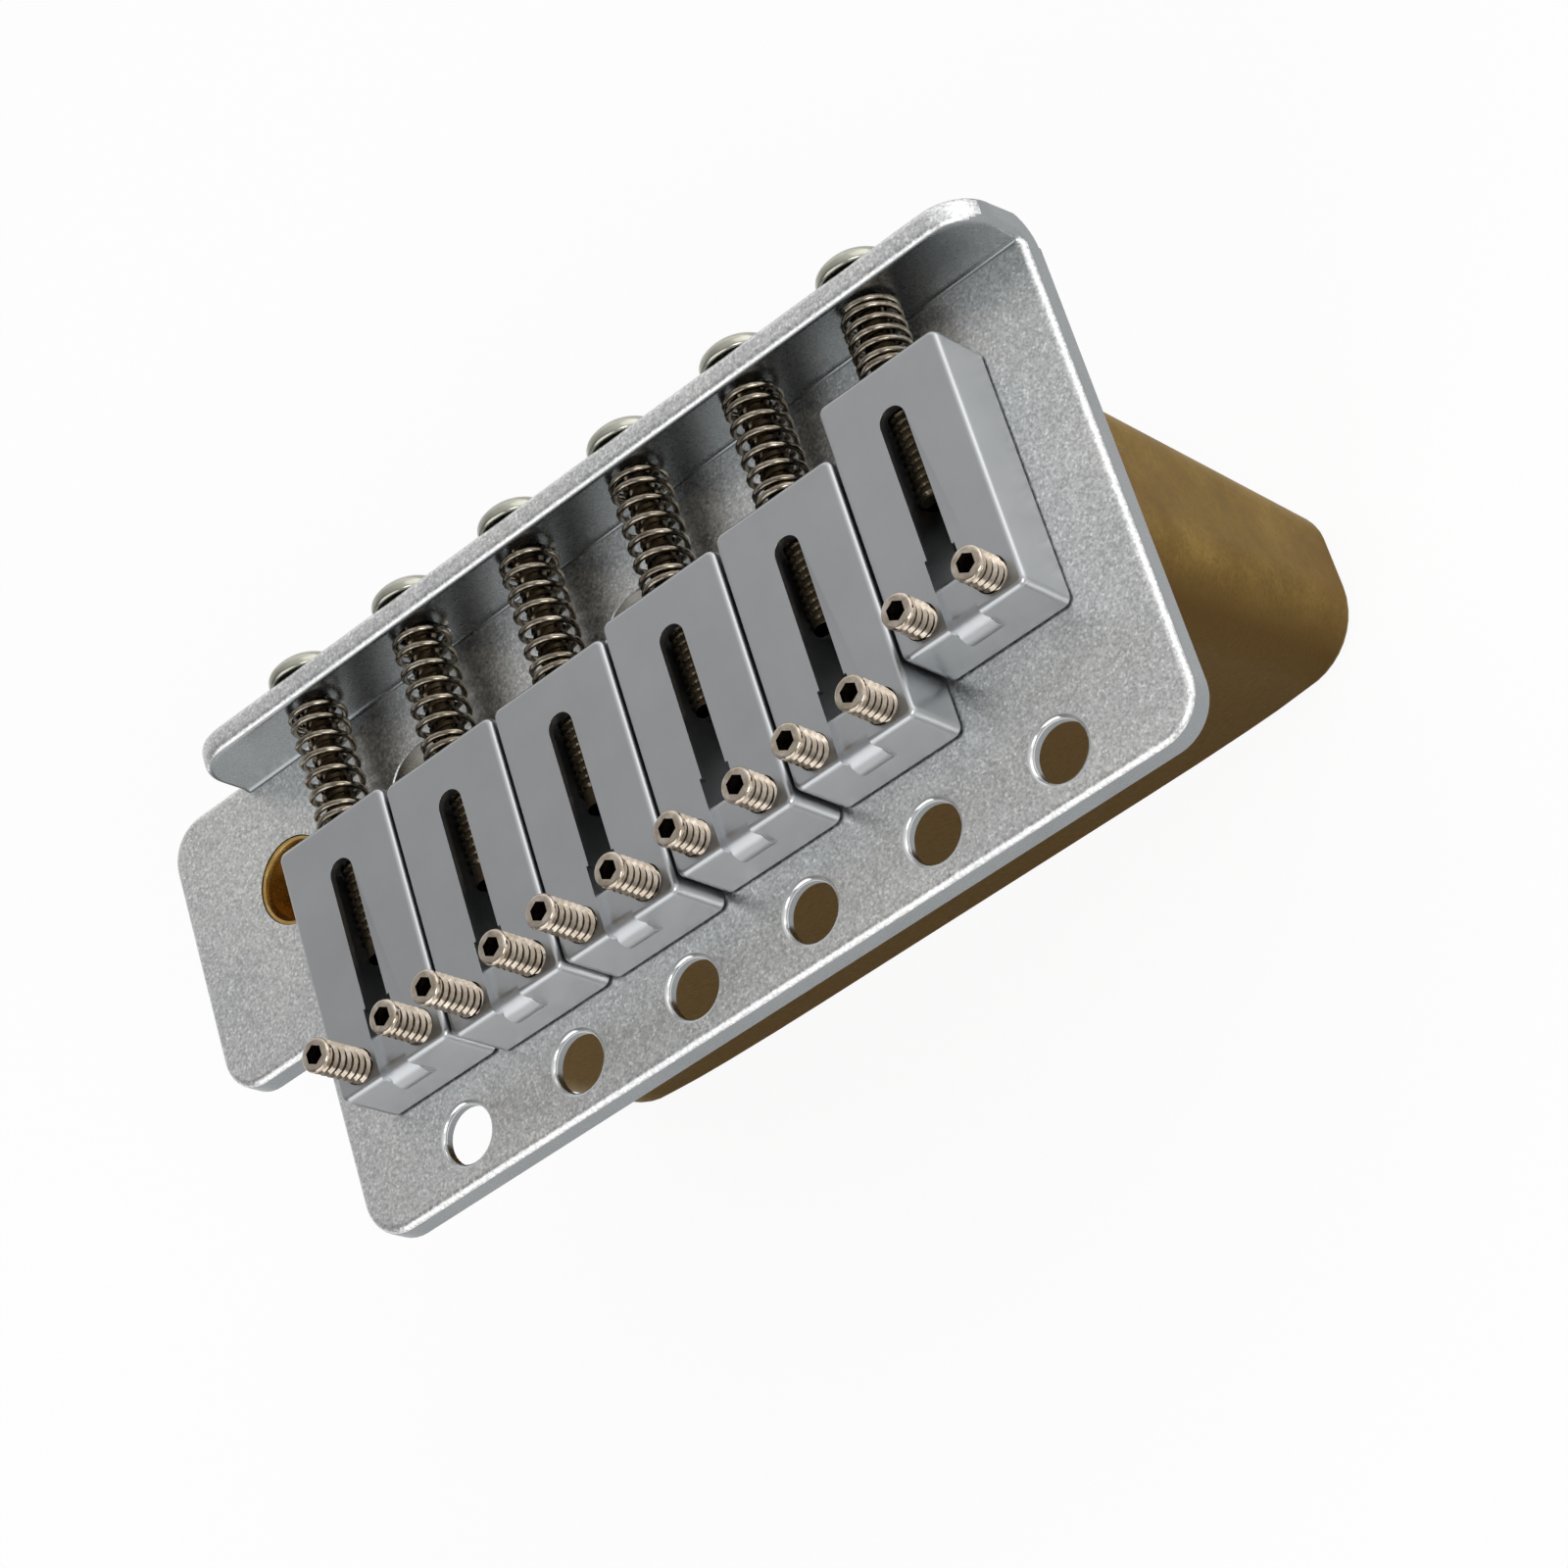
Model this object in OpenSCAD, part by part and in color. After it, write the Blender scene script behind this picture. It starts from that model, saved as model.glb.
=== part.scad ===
// Six-string guitar tremolo bridge, in millimetres.
// Origin: middle of the row of six pivot-screw holes, on the underside of the base plate.
// +X points to the bass side, +Y to the rear of the bridge, +Z up, away from the guitar's body.

/* [Strings] */
// Distance from one string to the next, which is also one saddle's share of the width
string_pitch = 10.5; // [10.3:0.1:11.3]
// Distance from one pivot-screw hole to the next
hole_pitch = 10.5; // [10.3:0.1:11.3]
// How far the row of saddles stands to the bass side of the row of holes
saddle_shift = -0.5; // [-0.6:0.1:0.3]

/* [Base plate] */
// Thickness of the steel plate
plate_t = 2.0; // [1.6:0.1:2.6]
// Plate in front of the pivot holes' centres
front_margin = 3.8; // [3.2:0.1:5]
// Plate beyond the outer pivot holes' centres
side_margin = 10.3; // [9.8:0.1:12]
// Radius of the plate's front corners
front_corner_r = 3.4; // [2:0.2:4]
// Pivot holes' centres to the rear flange's inner face
flange_y = 34.4; // [34:0.1:36]
// Height of the rear flange above the plate's top face
flange_h = 6.1; // [6:0.1:9]
// Reach of the flange to each side of the middle of the saddles
flange_half = 36.95; // [36:0.05:37]
// Radius of the flange's two upper corners
flange_corner_r = 3.6; // [2:0.2:4]
// Inside radius of the bend between plate and flange
bend_r = 1.3; // [0.5:0.1:1.4]
// Rounding along the flange's top and end edges
flange_edge_r = 0.8; // [0.4:0.1:0.9]
// Reach of the arm tab beyond the plate's treble side
tab_reach = 9.1; // [8.5:0.1:11]
// Pivot holes' centres to the arm tab's front edge
tab_front_y = 12.8; // [11:0.2:15]
// Pivot holes' centres to the arm tab's rear edge
tab_rear_y = 35.4; // [34.6:0.1:36]
// Radius of the arm tab's corners
tab_corner_r = 3.2; // [2:0.2:4]
// Radius of the inner corner between the plate's side and the arm tab
notch_r = 1.5; // [1:0.1:2.5]
// Radius of a pivot hole
pivot_hole_r = 2.1; // [1.8:0.05:2.4]
// Side clearance between an intonation screw and its hole in the flange
flange_hole_gap = 0.35; // [0.3:0.05:0.5]

/* [Saddles] */
// Length of a saddle
saddle_l = 20.3; // [19.8:0.1:21]
// Height of a saddle
saddle_h = 5.25; // [5.1:0.05:6]
// Gap between two saddles
saddle_gap = 0.22; // [0.1:0.02:0.4]
// Gap under a saddle that rests in its lowest position
under_gap = 0.15; // [0.1:0.05:0.4]
// Radius of a saddle's upright corners
saddle_corner_r = 0.9; // [0.4:0.1:1]
// Rear end of each saddle, bass to treble, behind the pivot holes' centres
saddle_rear_y = [28.7, 25.1, 24.6, 23.9, 23.9, 24.4];
// Width of the slot in a saddle's top
slot_w = 2.1; // [1.8:0.1:2.4]
// Metal behind the rear end of the slot
slot_back = 3.3; // [3:0.1:4]
// Height of the metal over the channel that holds the intonation screw
saddle_roof = 0.55; // [0.45:0.05:0.6]
// Width of that channel
channel_w = 3.2; // [3:0.1:3.6]
// Metal in front of the channel
saddle_front_wall = 3.9; // [3.6:0.1:4.5]
// Width of the string rest and of the open channel behind it
rest_w = 2.5; // [2.2:0.1:2.7]
// Saddle's front face to the rear end of that open channel
rest_channel_l = 5.5; // [4.8:0.1:7]
// Depth of the string rest below the saddle's top
rest_drop = 0.55; // [0.3:0.05:0.8]
// Radius of the string rest's rounded top
rest_r = 1.5; // [1.2:0.1:1.8]
// How far the string rest stands proud of the saddle's front
rest_proud = 0.3; // [0.2:0.05:0.5]

/* [Height screws] */
// Radius of a height screw
height_screw_r = 1.25; // [1.15:0.05:1.35]
// Distance between the two height screws of a saddle
height_screw_gap = 5.8; // [5.6:0.1:6.2]
// Saddle's front face to its height screws' centres
height_screw_in = 1.9; // [1.7:0.1:2.1]
// Reach of each saddle's bass-side height screw above its top
height_bass = [2.75, 3.45, 2.75, 3.9, 4.05, 3.65];
// Reach of each saddle's treble-side height screw above its top
height_treble = [2.75, 3.0, 2.95, 4.4, 4.6, 4.4];
// Width of the hexagon socket across its flats
socket_w = 1.3; // [1.1:0.05:1.5]
// Depth of the hexagon socket
socket_depth = 1.4; // [1:0.1:1.8]

/* [Intonation screws] */
// Radius of an intonation screw
screw_r = 1.25; // [1.15:0.05:1.35]
// Length of each intonation screw under its head, bass to treble
screw_l = [18, 21.5, 21.5, 23, 23, 23];
// Height of the intonation screws' axes above the plate's top face
screw_z = 3.3; // [3.2:0.1:3.6]
// Radius of a screw head
head_r = 2.85; // [2.4:0.05:3]
// Height of a screw head
head_h = 2.0; // [1.8:0.1:2.6]
// Height of the straight rim under the head's dome
head_rim = 0.8; // [0.4:0.1:1]
// Gap between a screw head and the flange, which lets the screw tilt
head_gap = 0.25; // [0.25:0.01:0.35]
// Side clearance of a screw in its threaded hole
thread_gap = 0.05; // [0.02:0.01:0.1]
// Width of the cross recess's arms
recess_w = 0.7; // [0.5:0.05:0.9]
// Length of the cross recess's arms, end to end
recess_l = 2.9; // [2.4:0.1:3.4]
// Depth of the cross recess below the top of the dome
recess_depth = 1.5; // [1:0.1:1.8]

/* [Springs] */
// Radius of a spring's coils, to the middle of the wire
spring_r = 1.93; // [1.85:0.02:2]
// Radius of a spring's wire
wire_r = 0.2; // [0.18:0.01:0.22]
// Coils of each spring, bass to treble
spring_coils = [5, 7, 7, 7, 7, 7];
// Gap between a spring's end and what it meets
spring_seat_gap = 0.05; // [0.02:0.01:0.1]

/* [Block] */
// Length of the brass block beyond the arm hole's centre, on the treble side
block_treble = 6.5; // [6:0.1:8]
// Length of the block on the bass side of the middle
block_bass = 32.0; // [31:0.2:34]
// Height of the block
block_h = 39; // [34:0.5:43]
// Pivot holes' centres to the block's rear face
block_rear_y = 29.8; // [29.6:0.1:30.6]
// Thickness of the block where it meets the plate
block_top_t = 16.4; // [15:0.2:17]
// Thickness of the block at its foot
block_foot_t = 13.2; // [12.4:0.2:14]
// Radius of the block's rear upright edges
block_rear_r = 3.5; // [2:0.5:4]
// Radius of the block's front upright edges
block_front_r = 5.5; // [3:0.5:6]
// Radius of the block's lower edges
block_foot_r = 2.2; // [1:0.2:3]
// Pivot holes' centres to the string holes
string_hole_y = 20.4; // [20:0.1:20.8]
// Radius of a string hole
string_hole_r = 1.0; // [0.8:0.05:1.2]
// Radius of the ball-end seat below a string hole
ball_seat_r = 2.15; // [2:0.05:2.3]
// Length of the string hole above the ball-end seat
string_neck = 12; // [8:0.5:16]
// Radius of a string hole in the plate
plate_string_r = 1.5; // [1.3:0.1:1.8]
// Radius of a claw-spring hole in the block's foot
claw_hole_r = 1.25; // [1:0.05:1.5]
// Depth of a claw-spring hole
claw_hole_depth = 9; // [6:0.5:12]
// Pivot holes' centres to the claw-spring holes
claw_hole_y = 25.8; // [25.4:0.1:26]

/* [Block screws] */
// Radius of a block screw's shank
block_screw_r = 1.75; // [1.5:0.05:2]
// Length of a block screw
block_screw_l = 11; // [8:0.5:14]
// Radius of a block screw's flat head
block_head_r = 3.4; // [2.8:0.1:3.6]
// Gap round a block screw's head in the plate
block_head_gap = 0.1; // [0.02:0.01:0.15]
// Pivot holes' centres to the block screws
block_screw_y = 25.6; // [25.4:0.1:25.8]

/* [Arm socket] */
// Pivot holes' centres to the arm hole's centre
arm_y = 25.6; // [25.4:0.1:26]
// Arm hole's centre beyond the outer treble pivot hole
arm_x = 8.8; // [8.6:0.1:9.6]
// Radius of the arm hole in the plate
arm_hole_r = 3.4; // [3.3:0.05:3.6]
// Wall of the arm bushing
bushing_wall = 0.8; // [0.5:0.05:0.9]
// Gap between the arm bushing and the plate
bushing_gap = 0.1; // [0.05:0.01:0.2]
// Length of the arm bushing
bushing_l = 18; // [14:0.5:24]
// Depth of the bushing's rim below the plate's top face
bushing_drop = 0.4; // [0.2:0.1:0.8]

/* [Hidden] */
$fn = 48;
strings = 6;
reach = 0.01;
press_gap = 0.02;
tall = 100;
string_x = [for (i = [0 : strings - 1]) saddle_shift + string_pitch * ((strings - 1) / 2 - i)];
hole_x = [for (i = [0 : strings - 1]) hole_pitch * ((strings - 1) / 2 - i)];
plate_half = hole_x[0] + side_margin;
tab_x = -plate_half - tab_reach;
flange_low_x = saddle_shift - flange_half;
flange_high_x = saddle_shift + flange_half;
bend_start_y = flange_y - bend_r;
flange_rear_y = flange_y + plate_t;
flange_top_z = plate_t + flange_h;
saddle_w = string_pitch - saddle_gap;
saddle_z = plate_t + under_gap;
saddle_top_z = saddle_z + saddle_h;
axis_z = plate_t + screw_z;
block_tip_x = -hole_x[0] - arm_x - block_treble;
arm_pos_x = -hole_x[0] - arm_x;
block_front_y = block_rear_y - block_top_t;
block_foot_front_y = block_rear_y - block_foot_t;
bushing_r = arm_hole_r - bushing_gap;
bushing_bore_r = bushing_r - bushing_wall;
bushing_top_z = plate_t - bushing_drop;
block_screw_x = [for (k = [0, 2, 4]) (string_x[k] + string_x[k + 1]) / 2];
claw_x = [for (k = [0 : strings - 2]) (string_x[k] + string_x[k + 1]) / 2];
head_cone_h = block_head_r - block_screw_r;
spring_rings = 8;
spring_sides = 6;

// A rectangle from one corner to the other, with a radius of its own on each corner:
// low x low y, high x low y, high x high y, low x high y
module rounded_rect(low, high, radii) {
    corners = [low, [high.x, low.y], high, [low.x, high.y]];
    inward = [[1, 1], [-1, 1], [-1, -1], [1, -1]];
    difference() {
        translate(low)
            square(high - low);
        for (k = [0 : 3])
            difference() {
                translate(corners[k] + inward[k] * (radii[k] / 2 - reach / 2))
                    square(radii[k] + reach, center = true);
                translate(corners[k] + inward[k] * radii[k])
                    circle(radii[k]);
            }
    }
}

// A shape drawn in Y and Z, pushed along X from one place to another
module along_x(from, to) {
    translate([from, 0, 0])
        rotate([90, 0, 90])
            linear_extrude(to - from)
                children();
}

// A shape drawn in X and Z, pushed along Y from one place to another
module along_y(from, to) {
    translate([0, to, 0])
        rotate([90, 0, 0])
            linear_extrude(to - from)
                children();
}

// Outline of the flat plate with its arm tab
module plate_outline() {
    rounded_rect([-plate_half, -front_margin], [plate_half, bend_start_y],
        [front_corner_r, front_corner_r, reach, reach]);
    rounded_rect([tab_x, tab_front_y], [0, bend_start_y],
        [tab_corner_r, reach, reach, reach]);
    rounded_rect([tab_x, bend_start_y - tab_corner_r], [flange_low_x, tab_rear_y],
        [reach, reach, tab_corner_r / 3, tab_corner_r]);
    difference() {
        translate([-plate_half - notch_r, tab_front_y - notch_r])
            square(notch_r + reach);
        translate([-plate_half - notch_r, tab_front_y - notch_r])
            circle(notch_r);
    }
}

// Cross-section of the bend and the flange behind it
module flange_section() {
    outer_r = bend_r + plate_t;
    intersection() {
        difference() {
            translate([bend_start_y, outer_r])
                circle(outer_r);
            translate([bend_start_y, outer_r])
                circle(bend_r);
        }
        translate([bend_start_y - reach, 0])
            square(outer_r + reach);
    }
    rounded_rect([flange_y, outer_r - reach], [flange_rear_y, flange_top_z],
        [reach, reach, flange_edge_r, flange_edge_r]);
}

module pivot_hole() {
    translate([0, 0, -reach])
        cylinder(r = pivot_hole_r, h = plate_t + 2 * reach);
}

module base_plate() {
    color("silver")
        difference() {
            union() {
                linear_extrude(plate_t)
                    plate_outline();
                intersection() {
                    along_x(flange_low_x, flange_high_x)
                        flange_section();
                    along_y(bend_start_y - 1, flange_rear_y + 1)
                        rounded_rect([flange_low_x, 0], [flange_high_x, flange_top_z],
                            [reach, reach, flange_corner_r, flange_corner_r]);
                    linear_extrude(flange_top_z)
                        rounded_rect([flange_low_x, 0], [flange_high_x, flange_rear_y],
                            [reach, reach, flange_edge_r, flange_edge_r]);
                }
            }
            for (x = hole_x)
                translate([x, 0, 0])
                    pivot_hole();
            for (x = string_x)
                translate([x, string_hole_y, -reach])
                    cylinder(r = plate_string_r, h = plate_t + 2 * reach);
            for (x = string_x)
                translate([x, flange_rear_y + reach, axis_z])
                    rotate([90, 0, 0])
                        cylinder(r = screw_r + flange_hole_gap, h = plate_t + 2 * reach);
            for (x = block_screw_x)
                translate([x, block_screw_y, 0])
                    block_screw_body(block_head_gap);
            translate([arm_pos_x, arm_y, -reach])
                cylinder(r = arm_hole_r, h = plate_t + 2 * reach);
        }
}

// A flat-headed screw from the plate's top face down, or the room that it needs with a gap
module block_screw_body(gap) {
    translate([0, 0, -block_screw_l + plate_t])
        cylinder(r = block_screw_r + gap, h = block_screw_l);
    translate([0, 0, plate_t - head_cone_h])
        cylinder(r1 = block_screw_r + gap, r2 = block_head_r + gap, h = head_cone_h);
}

module block_screws() {
    color("gainsboro")
        for (x = block_screw_x)
            translate([x, block_screw_y, 0])
                difference() {
                    block_screw_body(0);
                    translate([0, 0, plate_t - recess_depth])
                        cross_recess();
                }
}

// The two arms of a cross recess, pointing up
module cross_recess() {
    for (a = [0, 90])
        rotate([0, 0, a])
            translate([-recess_l / 2, -recess_w / 2, 0])
                cube([recess_l, recess_w, tall]);
}

// Side of the block: its front face leans, its rear face is upright
module block_side() {
    polygon([
        [block_front_y, 0],
        [block_rear_y, 0],
        [block_rear_y, -block_h],
        [block_foot_front_y, -block_h]
    ]);
}

module tremolo_block() {
    color("darkgoldenrod")
        difference() {
            intersection() {
                along_x(block_tip_x, block_bass)
                    block_side();
                along_y(block_front_y, block_rear_y)
                    rounded_rect([block_tip_x, -block_h], [block_bass, 0],
                        [block_foot_r, block_foot_r, reach, reach]);
                block_plan();
            }
            for (x = string_x)
                translate([x, string_hole_y, 0])
                    string_channel();
            for (x = claw_x)
                translate([x, claw_hole_y, -block_h - reach])
                    cylinder(r = claw_hole_r, h = claw_hole_depth + reach);
            for (x = block_screw_x)
                translate([x, block_screw_y, plate_t - block_screw_l])
                    cylinder(r = block_screw_r + press_gap, h = block_screw_l);
            translate([arm_pos_x, arm_y, bushing_top_z - bushing_l])
                cylinder(r = bushing_r + press_gap, h = bushing_l);
        }
}

// Plan of the block with its rounded upright edges, the front ones leaning with the front face
module block_plan() {
    lean = atan2(block_foot_front_y - block_front_y, block_h);
    intersection() {
        translate([0, 0, -block_h])
            linear_extrude(block_h)
                rounded_rect([block_tip_x, -tall], [block_bass, block_rear_y],
                    [reach, reach, block_rear_r, block_rear_r]);
        translate([0, block_front_y, 0])
            rotate([-lean, 0, 0])
                translate([0, 0, -tall / 2])
                    linear_extrude(tall)
                        rounded_rect([block_tip_x, 0], [block_bass, tall],
                            [block_front_r, block_front_r, reach, reach]);
    }
}

// A string's way down through the block, with the wider seat for its ball end
module string_channel() {
    translate([0, 0, -block_h - reach])
        cylinder(r = ball_seat_r, h = block_h - string_neck + reach);
    translate([0, 0, -string_neck - reach])
        cylinder(r = string_hole_r, h = string_neck + 2 * reach);
}

module arm_bushing() {
    color("goldenrod")
        translate([arm_pos_x, arm_y, bushing_top_z - bushing_l])
            difference() {
                cylinder(r = bushing_r, h = bushing_l);
                translate([0, 0, -reach])
                    cylinder(r = bushing_bore_r, h = bushing_l + 2 * reach);
            }
}

// The rounded string rest, drawn in Y and Z from the saddle's front face and its top
module rest_section() {
    intersection() {
        translate([-rest_proud, -tall])
            square([tall, tall - rest_drop]);
        union() {
            translate([rest_r - rest_proud, -rest_drop - rest_r])
                circle(rest_r);
            translate([-reach, -rest_drop - rest_r])
                square([saddle_front_wall - rest_r + reach, rest_r]);
            translate([rest_r - rest_proud, -rest_drop - rest_r - rest_r / 2])
                square([saddle_front_wall - rest_r, rest_r * 1.5]);
        }
    }
}

module saddle(i) {
    front_y = saddle_rear_y[i] - saddle_l;
    color("darkgray")
        translate([string_x[i], front_y, saddle_z])
            difference() {
                union() {
                    difference() {
                        linear_extrude(saddle_h)
                            rounded_rect([-saddle_w / 2, 0], [saddle_w / 2, saddle_l],
                                [for (k = [0 : 3]) saddle_corner_r]);
                        translate([-rest_w / 2, -1, saddle_h - rest_drop - rest_r])
                            cube([rest_w, rest_channel_l + 1, saddle_h]);
                    }
                    translate([0, 0, saddle_h])
                        along_x(-rest_w / 2, rest_w / 2)
                            rest_section();
                }
                saddle_slot();
                saddle_channel();
                for (s = [-1, 1])
                    translate([s * height_screw_gap / 2, height_screw_in, -1])
                        cylinder(r = height_screw_r + thread_gap, h = saddle_h + 2);
            }
}

// The slot in the saddle's top, with a round rear end
module saddle_slot() {
    translate([0, 0, -1])
        linear_extrude(saddle_h + 2) {
            translate([-slot_w / 2, saddle_front_wall])
                square([slot_w, saddle_l - slot_back - slot_w / 2 - saddle_front_wall]);
            translate([0, saddle_l - slot_back - slot_w / 2])
                circle(slot_w / 2);
        }
}

// The wider channel below the slot, and the threaded hole behind it
module saddle_channel() {
    translate([-channel_w / 2, saddle_front_wall, -1])
        cube([channel_w, saddle_l - slot_back - saddle_front_wall, saddle_h - saddle_roof + 1]);
    translate([0, saddle_l + 1, axis_z - saddle_z])
        rotate([90, 0, 0])
            cylinder(r = screw_r + thread_gap, h = slot_back + 2);
}

// A socket-headed grub screw, its foot level with the saddle's underside
module height_screw(x, i, proud) {
    length = saddle_h + proud;
    color("wheat")
        translate([x, saddle_rear_y[i] - saddle_l + height_screw_in, saddle_z])
            difference() {
                cylinder(r = height_screw_r, h = length);
                translate([0, 0, length - socket_depth])
                    cylinder(d = socket_w / cos(30), h = socket_depth + 1, $fn = 6);
            }
}

// Side of the screw head's dome, turned about the screw's axis
module head_side() {
    dome = head_h - head_rim;
    sphere_r = (head_r * head_r + dome * dome) / (2 * dome);
    square([head_r, head_rim]);
    intersection() {
        square([head_r, head_h]);
        translate([0, head_h - sphere_r])
            circle(sphere_r);
        translate([0, head_rim - reach])
            square([head_r, dome + reach]);
    }
}

module intonation_screw(i) {
    color("burlywood")
        translate([string_x[i], flange_rear_y + head_gap, axis_z])
            rotate([-90, 0, 0]) {
                difference() {
                    rotate_extrude()
                        head_side();
                    translate([0, 0, head_h - recess_depth])
                        cross_recess();
                }
                translate([0, 0, -screw_l[i]])
                    cylinder(r = screw_r, h = screw_l[i] + reach);
            }
}

// Middle line of a spring: straight for one wire width at each end, coils between
function spring_path(i) =
    let (
        low = saddle_rear_y[i] + spring_seat_gap,
        high = flange_y - spring_seat_gap,
        from = low + 2 * wire_r,
        to = high - 2 * wire_r,
        steps = spring_coils[i] * spring_rings,
        at = function (k) let (a = 360 * k / spring_rings)
            [spring_r * cos(a), from + (to - from) * k / steps, spring_r * sin(a)]
    )
    concat([[at(0).x, low, at(0).z]], [for (k = [0 : steps]) at(k)], [[at(steps).x, high, at(steps).z]]);

function unit(v) = v / norm(v);

// Direction of a path at one of its points
function heading(path, k) =
    k == 0 ? unit(path[1] - path[0])
    : k == len(path) - 1 ? unit(path[k] - path[k - 1])
    : unit(unit(path[k + 1] - path[k]) + unit(path[k] - path[k - 1]));

// One ring of points round the path, with its first point on the side away from the spring's axis
function ring_points(path, k) =
    let (
        d = heading(path, k),
        out = unit([path[k].x, 0, path[k].z]),
        u = unit(out - d * (out * d)),
        v = cross(d, u)
    )
    [for (s = [0 : spring_sides - 1]) let (a = 360 * s / spring_sides)
        path[k] + wire_r * (u * cos(a) + v * sin(a))];

// Smallest distance between two coils' surfaces, measured on points of the middle line
function self_gap(path) =
    min([for (a = [1 : len(path) - 2], b = [a + spring_rings / 2 : 1 : len(path) - 2])
        if (b < len(path) - 1) norm(path[a] - path[b])]) - 2 * wire_r;

module intonation_spring(i) {
    path = spring_path(i);
    rings = len(path);
    n = spring_sides;
    points = [for (k = [0 : rings - 1]) each ring_points(path, k)];
    sides = [for (k = [0 : rings - 2], s = [0 : n - 1])
        let (a = k * n + s, b = k * n + (s + 1) % n)
        each [[a, a + n, b], [b, a + n, b + n]]];
    first = [for (s = [1 : n - 2]) [0, s, s + 1]];
    base = (rings - 1) * n;
    last = [for (s = [1 : n - 2]) [base, base + s + 1, base + s]];
    echo(spring = i + 1, least_gap_to_itself = self_gap(path));
    color("tan")
        translate([string_x[i], 0, axis_z])
            polyhedron(points = points, faces = concat(sides, first, last));
}

base_plate();
tremolo_block();
block_screws();
arm_bushing();
for (i = [0 : strings - 1]) {
    saddle(i);
    intonation_screw(i);
    intonation_spring(i);
    height_screw(string_x[i] + height_screw_gap / 2, i, height_bass[i]);
    height_screw(string_x[i] - height_screw_gap / 2, i, height_treble[i]);
}
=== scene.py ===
import sys
import logging
import math
from contextlib import contextmanager
from dataclasses import dataclass
from enum import Enum
from typing import Callable, Iterator, Optional, Sequence

import bmesh
import bpy
from mathutils import Matrix, Vector


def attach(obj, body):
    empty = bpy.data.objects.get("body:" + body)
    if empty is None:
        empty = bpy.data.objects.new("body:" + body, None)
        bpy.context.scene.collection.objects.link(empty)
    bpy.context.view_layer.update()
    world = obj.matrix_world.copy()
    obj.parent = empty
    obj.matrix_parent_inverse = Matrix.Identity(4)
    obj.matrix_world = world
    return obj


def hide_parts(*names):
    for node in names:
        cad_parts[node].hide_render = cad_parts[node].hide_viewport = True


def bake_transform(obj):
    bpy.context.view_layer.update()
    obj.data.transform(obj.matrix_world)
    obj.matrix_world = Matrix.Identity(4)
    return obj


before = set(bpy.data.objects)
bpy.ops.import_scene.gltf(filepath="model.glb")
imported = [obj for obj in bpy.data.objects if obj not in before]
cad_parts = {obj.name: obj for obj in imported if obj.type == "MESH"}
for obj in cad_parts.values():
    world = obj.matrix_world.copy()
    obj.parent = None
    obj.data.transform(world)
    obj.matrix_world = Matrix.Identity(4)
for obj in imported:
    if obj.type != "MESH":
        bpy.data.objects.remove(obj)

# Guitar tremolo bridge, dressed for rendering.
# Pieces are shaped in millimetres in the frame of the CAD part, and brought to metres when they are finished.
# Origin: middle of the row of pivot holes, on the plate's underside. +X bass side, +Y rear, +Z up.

log = logging.getLogger("tremolo_bridge")

MM = 0.001
STRINGS = 6
STRING_X: tuple[float, ...] = tuple(-0.5 + 10.5 * (2.5 - i) for i in range(STRINGS))
HOLE_X: tuple[float, ...] = tuple(10.5 * (2.5 - i) for i in range(STRINGS))
SADDLE_REAR_Y: tuple[float, ...] = (28.7, 25.1, 24.6, 23.9, 23.9, 24.4)
SCREW_AXIS_Z = 5.3
# how far a part that is welded on or cut out reaches past its neighbour's face
OVERLAP = 0.02
BLOCK_SCREW_XY: tuple[tuple[float, float], ...] = ((20.5, 25.6), (-0.5, 25.6), (-21.5, 25.6))
ARM_XY: tuple[float, float] = (-35.05, 25.6)

Place = tuple[float, float, float]
Piece = bpy.types.Object
Material = bpy.types.Material
Tree = bpy.types.NodeTree
Socket = bpy.types.NodeSocket

# the Mix node's colour sockets: two inputs and the output
MIX_UNDER, MIX_OVER, MIX_COLOUR = 6, 7, 2


class Axis(Enum):
    """The direction in which a round piece or a cut runs."""

    X = "x"
    Y = "y"
    Z = "z"


class Slot(Enum):
    """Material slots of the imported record."""

    PLATE = "plate_satin_chrome"
    SADDLE = "saddle_satin_chrome"
    BLOCK = "block_brass"
    BUSHING = "bushing_brass"
    BLOCK_SCREW = "block_screw_steel"
    INTONATION_SCREW = "intonation_screw_nickel"
    SPRING = "spring_nickel"
    HEIGHT_SCREW = "height_screw_nickel"


# Materials


def linear(code: str) -> tuple[float, float, float, float]:
    """Turn an sRGB hex colour into the linear colour that a shader takes.

    Args:
        code: Six hex digits, with or without a leading #.

    Returns:
        Red, green, blue and full opacity.
    """
    digits = code.lstrip("#")
    parts = [int(digits[k : k + 2], 16) / 255 for k in (0, 2, 4)]
    curve = [p / 12.92 if p <= 0.04045 else ((p + 0.055) / 1.055) ** 2.4 for p in parts]
    return curve[0], curve[1], curve[2], 1.0


def per_mm(size: float) -> float:
    """Texture scale at which one pattern cell is this many millimetres wide."""
    return 1.0 / (size * MM)


def add_node(
    tree: Tree, kind: str, settings: Optional[dict] = None, inputs: Optional[dict] = None
) -> bpy.types.Node:
    """Add one node with its settings, its fixed values and its links.

    Args:
        tree: The node tree that gets the node.
        kind: Blender's name of the shader node, without the word ShaderNode.
        settings: Attributes of the node itself.
        inputs: Values by socket name or number; a value that is a socket is linked.

    Returns:
        The new node.
    """
    node = tree.nodes.new("ShaderNode" + kind)
    for name, value in (settings or {}).items():
        setattr(node, name, value)
    for name, value in (inputs or {}).items():
        if isinstance(value, Socket):
            tree.links.new(value, node.inputs[name])
        else:
            node.inputs[name].default_value = value
    return node


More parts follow.
